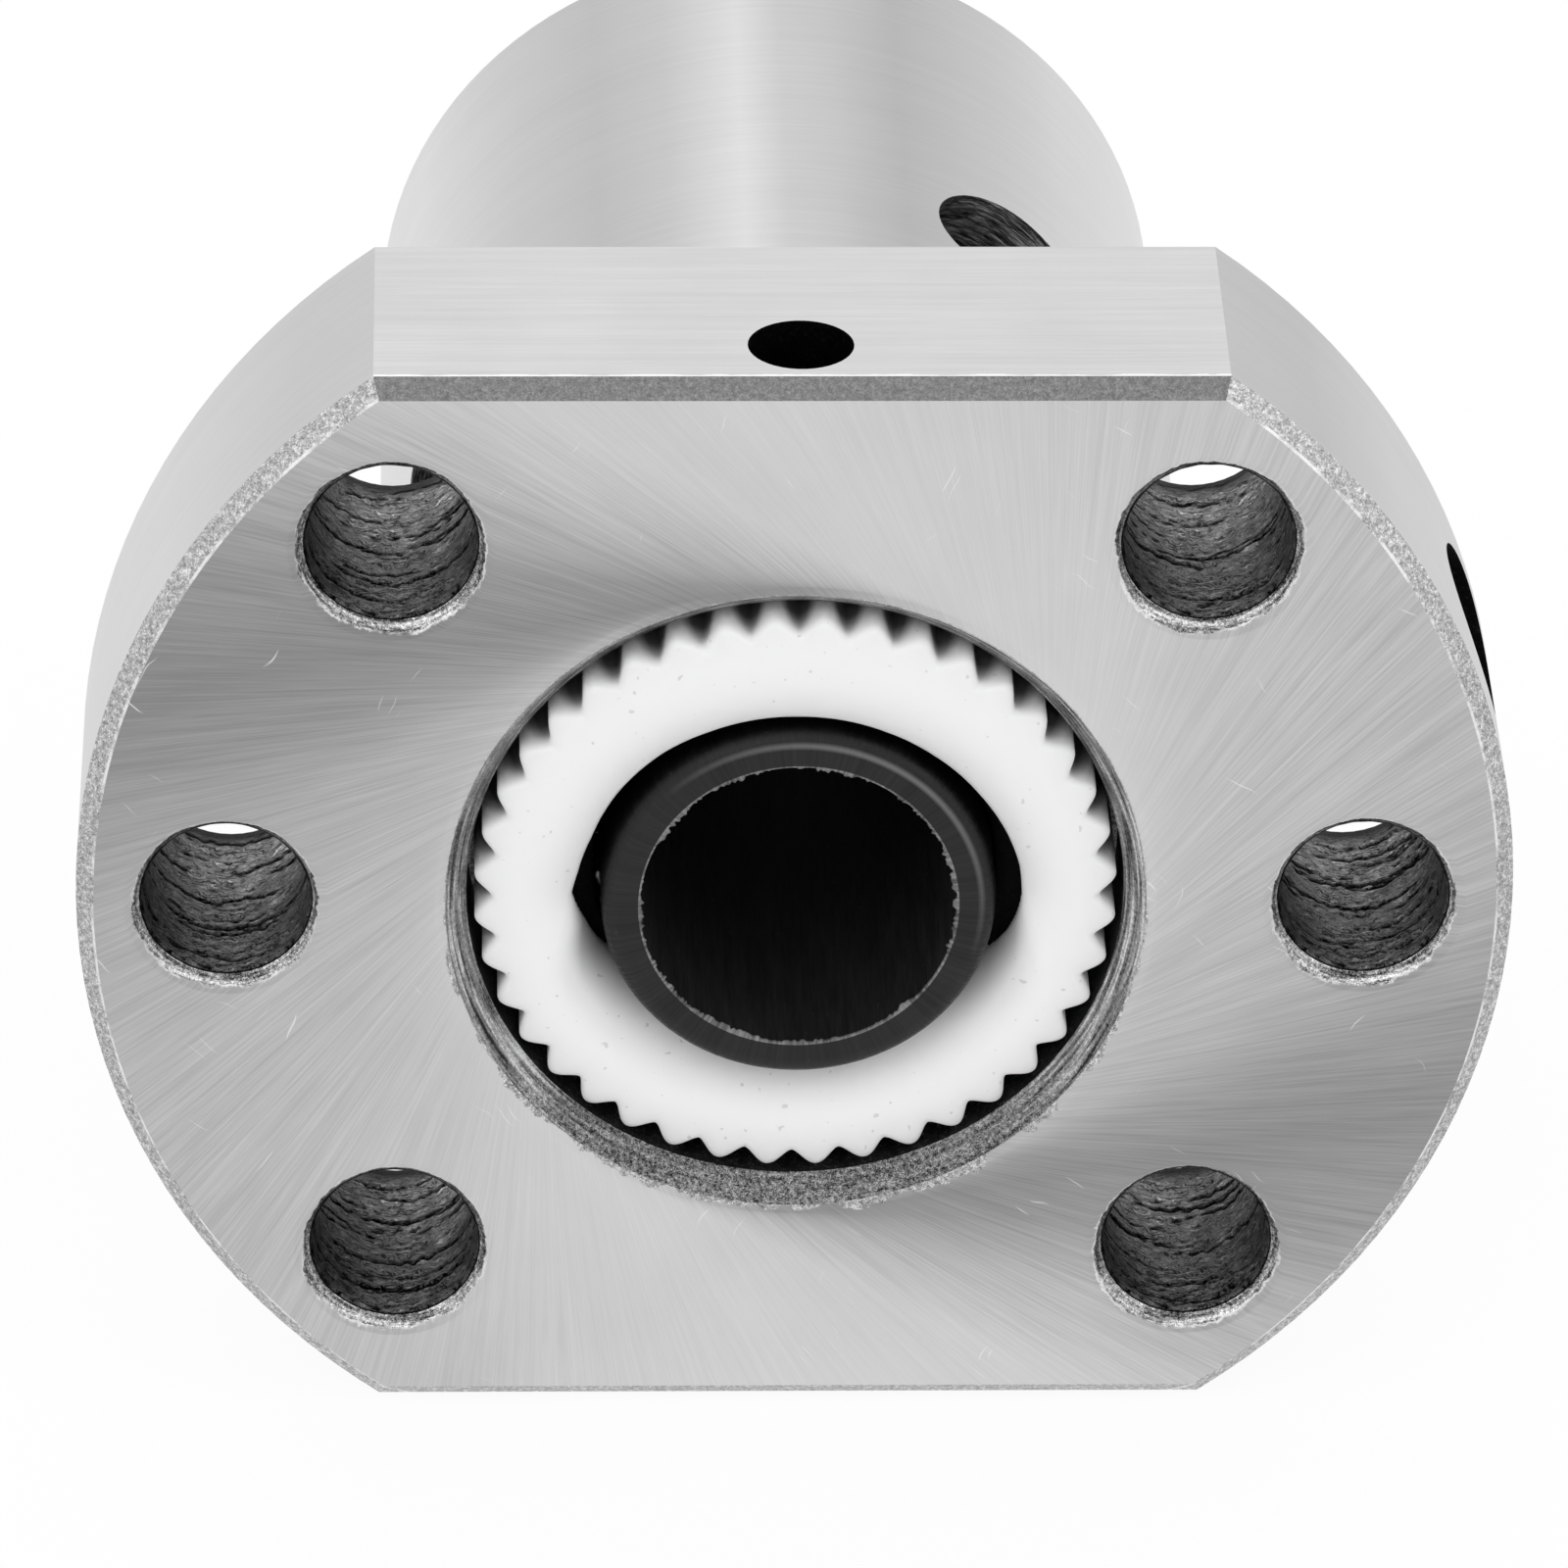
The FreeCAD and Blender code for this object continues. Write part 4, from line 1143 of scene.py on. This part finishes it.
@dataclass
class ShippingSleeve:
    """The black plastic tube, sawn off with a ragged burr round its bore."""

    start: float = -10.0
    length: float = 45.0
    radius: float = 6.6025
    bore_radius: float = 5.3025
    end_radius: float = 0.7
    burr: float = 0.16
    rest: tuple[float, float, float] = (0.10, 0.0, -0.10)

    def part_finishes(self, piece: bpy.types.Object) -> None:
        """Give the bore and the burr round its edge finishes of their own."""
        piece.data.materials.append(SLEEVE_BORE.material())
        piece.data.materials.append(SLEEVE_BURR.material())
        for face in piece.data.polygons:
            x, y, z = face.center / MM
            radius = math.hypot(x, z)
            if radius < self.bore_radius + 0.005 and y > self.start + 0.17:
                face.material_index = 1
            elif radius < self.bore_radius + 0.03 and y < self.start + 0.18:
                face.material_index = 2

    def build(self) -> None:
        """Extrude the sleeve, round its ends and leave the saw's burr."""
        turn = np.linspace(0, 2 * np.pi, 900, endpoint=False)
        coarse, fine = 0.60 * ripple(turn, 5, 2, 12), 0.38 * ripple(turn, 6, 20, 70)
        hair = 0.22 * ripple(turn, 9, 90, 190)
        ragged = self.burr * np.clip(0.22 + coarse + fine + hair, 0, 1.0)
        wobble = 0.02 * ripple(turn, 8, 3, 9)
        columns = []

        def column(radius: object, depth: object) -> None:
            """Add one line of points round the sleeve."""
            at_radius = np.broadcast_to(np.asarray(radius, float), turn.shape)
            at = np.broadcast_to(np.asarray(depth, float), turn.shape)
            columns.append(np.stack([at_radius * np.cos(turn), at, at_radius * np.sin(turn)], -1))

        end, r = self.start + self.length, self.end_radius
        for share in np.linspace(1, 0, 16):
            column(self.radius, self.start + r + share * (self.length - 2 * r))
        for a in np.linspace(0, np.pi / 2, 14)[1:]:
            column(self.radius - r * (1 - np.cos(a)), self.start + r * (1 - np.sin(a)))
        flat = self.radius - r
        for share in np.linspace(0, 1, 7)[1:]:
            dished = 0.03 * share * share + wobble * 0.5 * share + 0.01
            column(flat + share * (self.bore_radius + 0.06 - flat), self.start + dished)
        for inward, depth in ((0.3, 0.05), (1.0, 0.10), (0.8, 0.16), (0.1, 0.26)):
            column(self.bore_radius - inward * ragged, self.start + depth)
        for share in np.linspace(0, 1, 16):
            column(self.bore_radius, self.start + 0.4 + share * (self.length - 0.6))
        for share in np.linspace(0, 1, 6):
            column(self.bore_radius + 0.04 + share * (flat - self.bore_radius - 0.04), end)
        for a in np.linspace(0, np.pi / 2, 14)[1:-1]:
            column(self.radius - r * (1 - np.sin(a)), end - r * (1 - np.cos(a)))
        points = np.stack(columns, 1)
        points[..., 1] = np.clip(points[..., 1], self.start, end)
        piece = torus_mesh("sleeve_tube", points, SLEEVE)
        self.part_finishes(piece)
        piece.location = Vector(self.rest) * MM
        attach(piece, "sleeve")
        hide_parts("shipping_sleeve")
        log.info("shipping sleeve: extruded, burr up to %.2f mm", self.burr)


@dataclass
class InnerParts:
    """What the nut holds: grub screws, return inserts and the balls."""

    screws: tuple[str, ...] = ("front_grub_screw", "rear_grub_screw")
    circuits: int = 4

    def build(self, nodes: dict[str, bpy.types.Object]) -> None:
        """Finish each inner part."""
        for name in self.screws:
            paint(nodes[name], SCREW_BLACK)
        for number in range(1, self.circuits + 1):
            paint(nodes[f"return_insert_{number}"], INSERT_STEEL)
            paint(nodes[f"ball_circuit_{number}"], BALLS)
        log.info("inner parts: %d screws, %d circuits", len(self.screws), self.circuits)


@dataclass
class Softbox:
    """One soft lamp."""

    name: str
    place: tuple[float, float, float]
    size: tuple[float, float]
    power: float


@dataclass
class Studio:
    """The floor, the soft lamps, the white surround and the camera."""

    azimuth: float = -1.784
    elevation: float = 29.193
    roll: float = 0.777
    distance: float = 393.136
    focal_pixels: float = 12028.366
    picture_pixels: float = 1600.0
    aim: tuple[float, float] = (-0.45, 4.018)
    floor_height: float = -19.5
    floor_reach: float = 20000.0
    floor_glow: float = 0.92
    surround: float = 0.93
    lamps: list[Softbox] = field(default_factory=lambda: [
        Softbox("key_lamp", (-260.0, -420.0, 520.0), (420.0, 320.0), 0.55),
        Softbox("right_lamp", (460.0, -160.0, 360.0), (260.0, 420.0), 0.30),
        Softbox("back_lamp", (-80.0, 420.0, 480.0), (420.0, 180.0), 0.25),
    ])

    def camera(self) -> None:
        """Stand the camera where the photograph was taken from."""
        a, e, roll = (math.radians(turned) for turned in (self.azimuth, self.elevation, self.roll))
        back = Vector((math.sin(a) * math.cos(e), -math.cos(a) * math.cos(e), math.sin(e)))
        right = Vector((math.cos(a), math.sin(a), 0.0))
        up = back.cross(right)
        across = math.cos(roll) * right + math.sin(roll) * up
        upright = -math.sin(roll) * right + math.cos(roll) * up
        target = Vector((0.0, -10.0, 0.0)) + self.aim[0] * right + self.aim[1] * up
        data = bpy.data.cameras.new("camera")
        data.sensor_fit = "HORIZONTAL"
        data.sensor_width = 36.0
        data.lens = self.focal_pixels * data.sensor_width / self.picture_pixels
        data.clip_start, data.clip_end = 0.01, 100.0
        camera = stand("camera", data)
        turn = Matrix((across, upright, back)).transposed().to_4x4()
        camera.matrix_world = Matrix.Translation((target + back * self.distance) * MM) @ turn
        bpy.context.scene.camera = camera

    def lamp(self, box: Softbox) -> None:
        """Hang a soft lamp that looks at the nut."""
        data = bpy.data.lights.new(box.name, "AREA")
        data.shape = "RECTANGLE"
        data.size, data.size_y = box.size[0] * MM, box.size[1] * MM
        data.energy = box.power
        lamp = stand(box.name, data)
        lamp.location = Vector(box.place) * MM
        lamp.rotation_euler = (-Vector(box.place)).to_track_quat("-Z", "Y").to_euler()

    def seen(self, w: Wiring) -> Socket:
        """Tell rays from the camera, a mirror or glass, which see full white, from the light's own."""
        path = w.add("LightPath").outputs
        mirrored = w.math("MAXIMUM", path["Is Glossy Ray"], path["Is Transmission Ray"])
        return w.math("MAXIMUM", path["Is Camera Ray"], mirrored)

    def world(self) -> None:
        """Surround the nut with plain white, full white where it is seen or mirrored."""
        world = bpy.data.worlds.new("surround")
        bpy.context.scene.world = world
        world.use_nodes = True
        w = Wiring(world.node_tree)
        background = w.add("Background")
        background.inputs["Color"].default_value = (1, 1, 1, 1)
        w.feed(background.inputs["Strength"], w.spread(self.seen(w), 0.0, 1.0, self.surround, 1.0))
        w.feed(w.add("OutputWorld").inputs["Surface"], background.outputs[0])

    def floor(self) -> None:
        """Lay a pale floor that shows white and keeps a light shadow."""
        mesh = bpy.data.meshes.new("floor")
        reach, height = self.floor_reach * MM, self.floor_height * MM
        ends = ((-reach, -reach), (reach, -reach), (reach, reach), (-reach, reach))
        mesh.from_pydata([(x, y, height) for x, y in ends], [], [(0, 1, 2, 3)])
        floor = stand("floor", mesh)
        made = bpy.data.materials.new("pale_floor")
        made.use_nodes = True
        w = Wiring(made.node_tree)
        matt = w.add("BsdfDiffuse")
        matt.inputs["Color"].default_value = grey(0.97)
        white = w.add("Emission")
        white.inputs["Color"].default_value = (1, 1, 1, 1)
        white.inputs["Strength"].default_value = 1.0
        blend = w.add("MixShader")
        w.feed(blend.inputs[0], w.times(self.seen(w), self.floor_glow))
        w.feed(blend.inputs[1], matt.outputs[0])
        w.feed(blend.inputs[2], white.outputs[0])
        w.feed(w.add("OutputMaterial").inputs["Surface"], blend.outputs[0])
        mesh.materials.append(made)

    def build(self) -> None:
        """Set the whole studio."""
        self.camera()
        for box in self.lamps:
            self.lamp(box)
        self.world()
        self.floor()
        bpy.context.scene.view_settings.view_transform = "Standard"
        log.info("studio: camera, %d lamps, floor", len(self.lamps))


def main() -> None:
    """Build the scene in order."""
    logging.basicConfig(level=logging.INFO, format="%(message)s", stream=sys.stdout)
    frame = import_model()
    nodes = frame["nodes"]
    build_effects()
    Flange().build(nodes)
    Barrel().build(nodes)
    Wiper("front_wiper_ring", "front_wiper").build()
    Wiper("rear_wiper_ring", "rear_wiper", rear=True).build()
    ShippingSleeve().build()
    InnerParts().build(nodes)
    Studio().build()


if __name__ == "__main__":
    main()
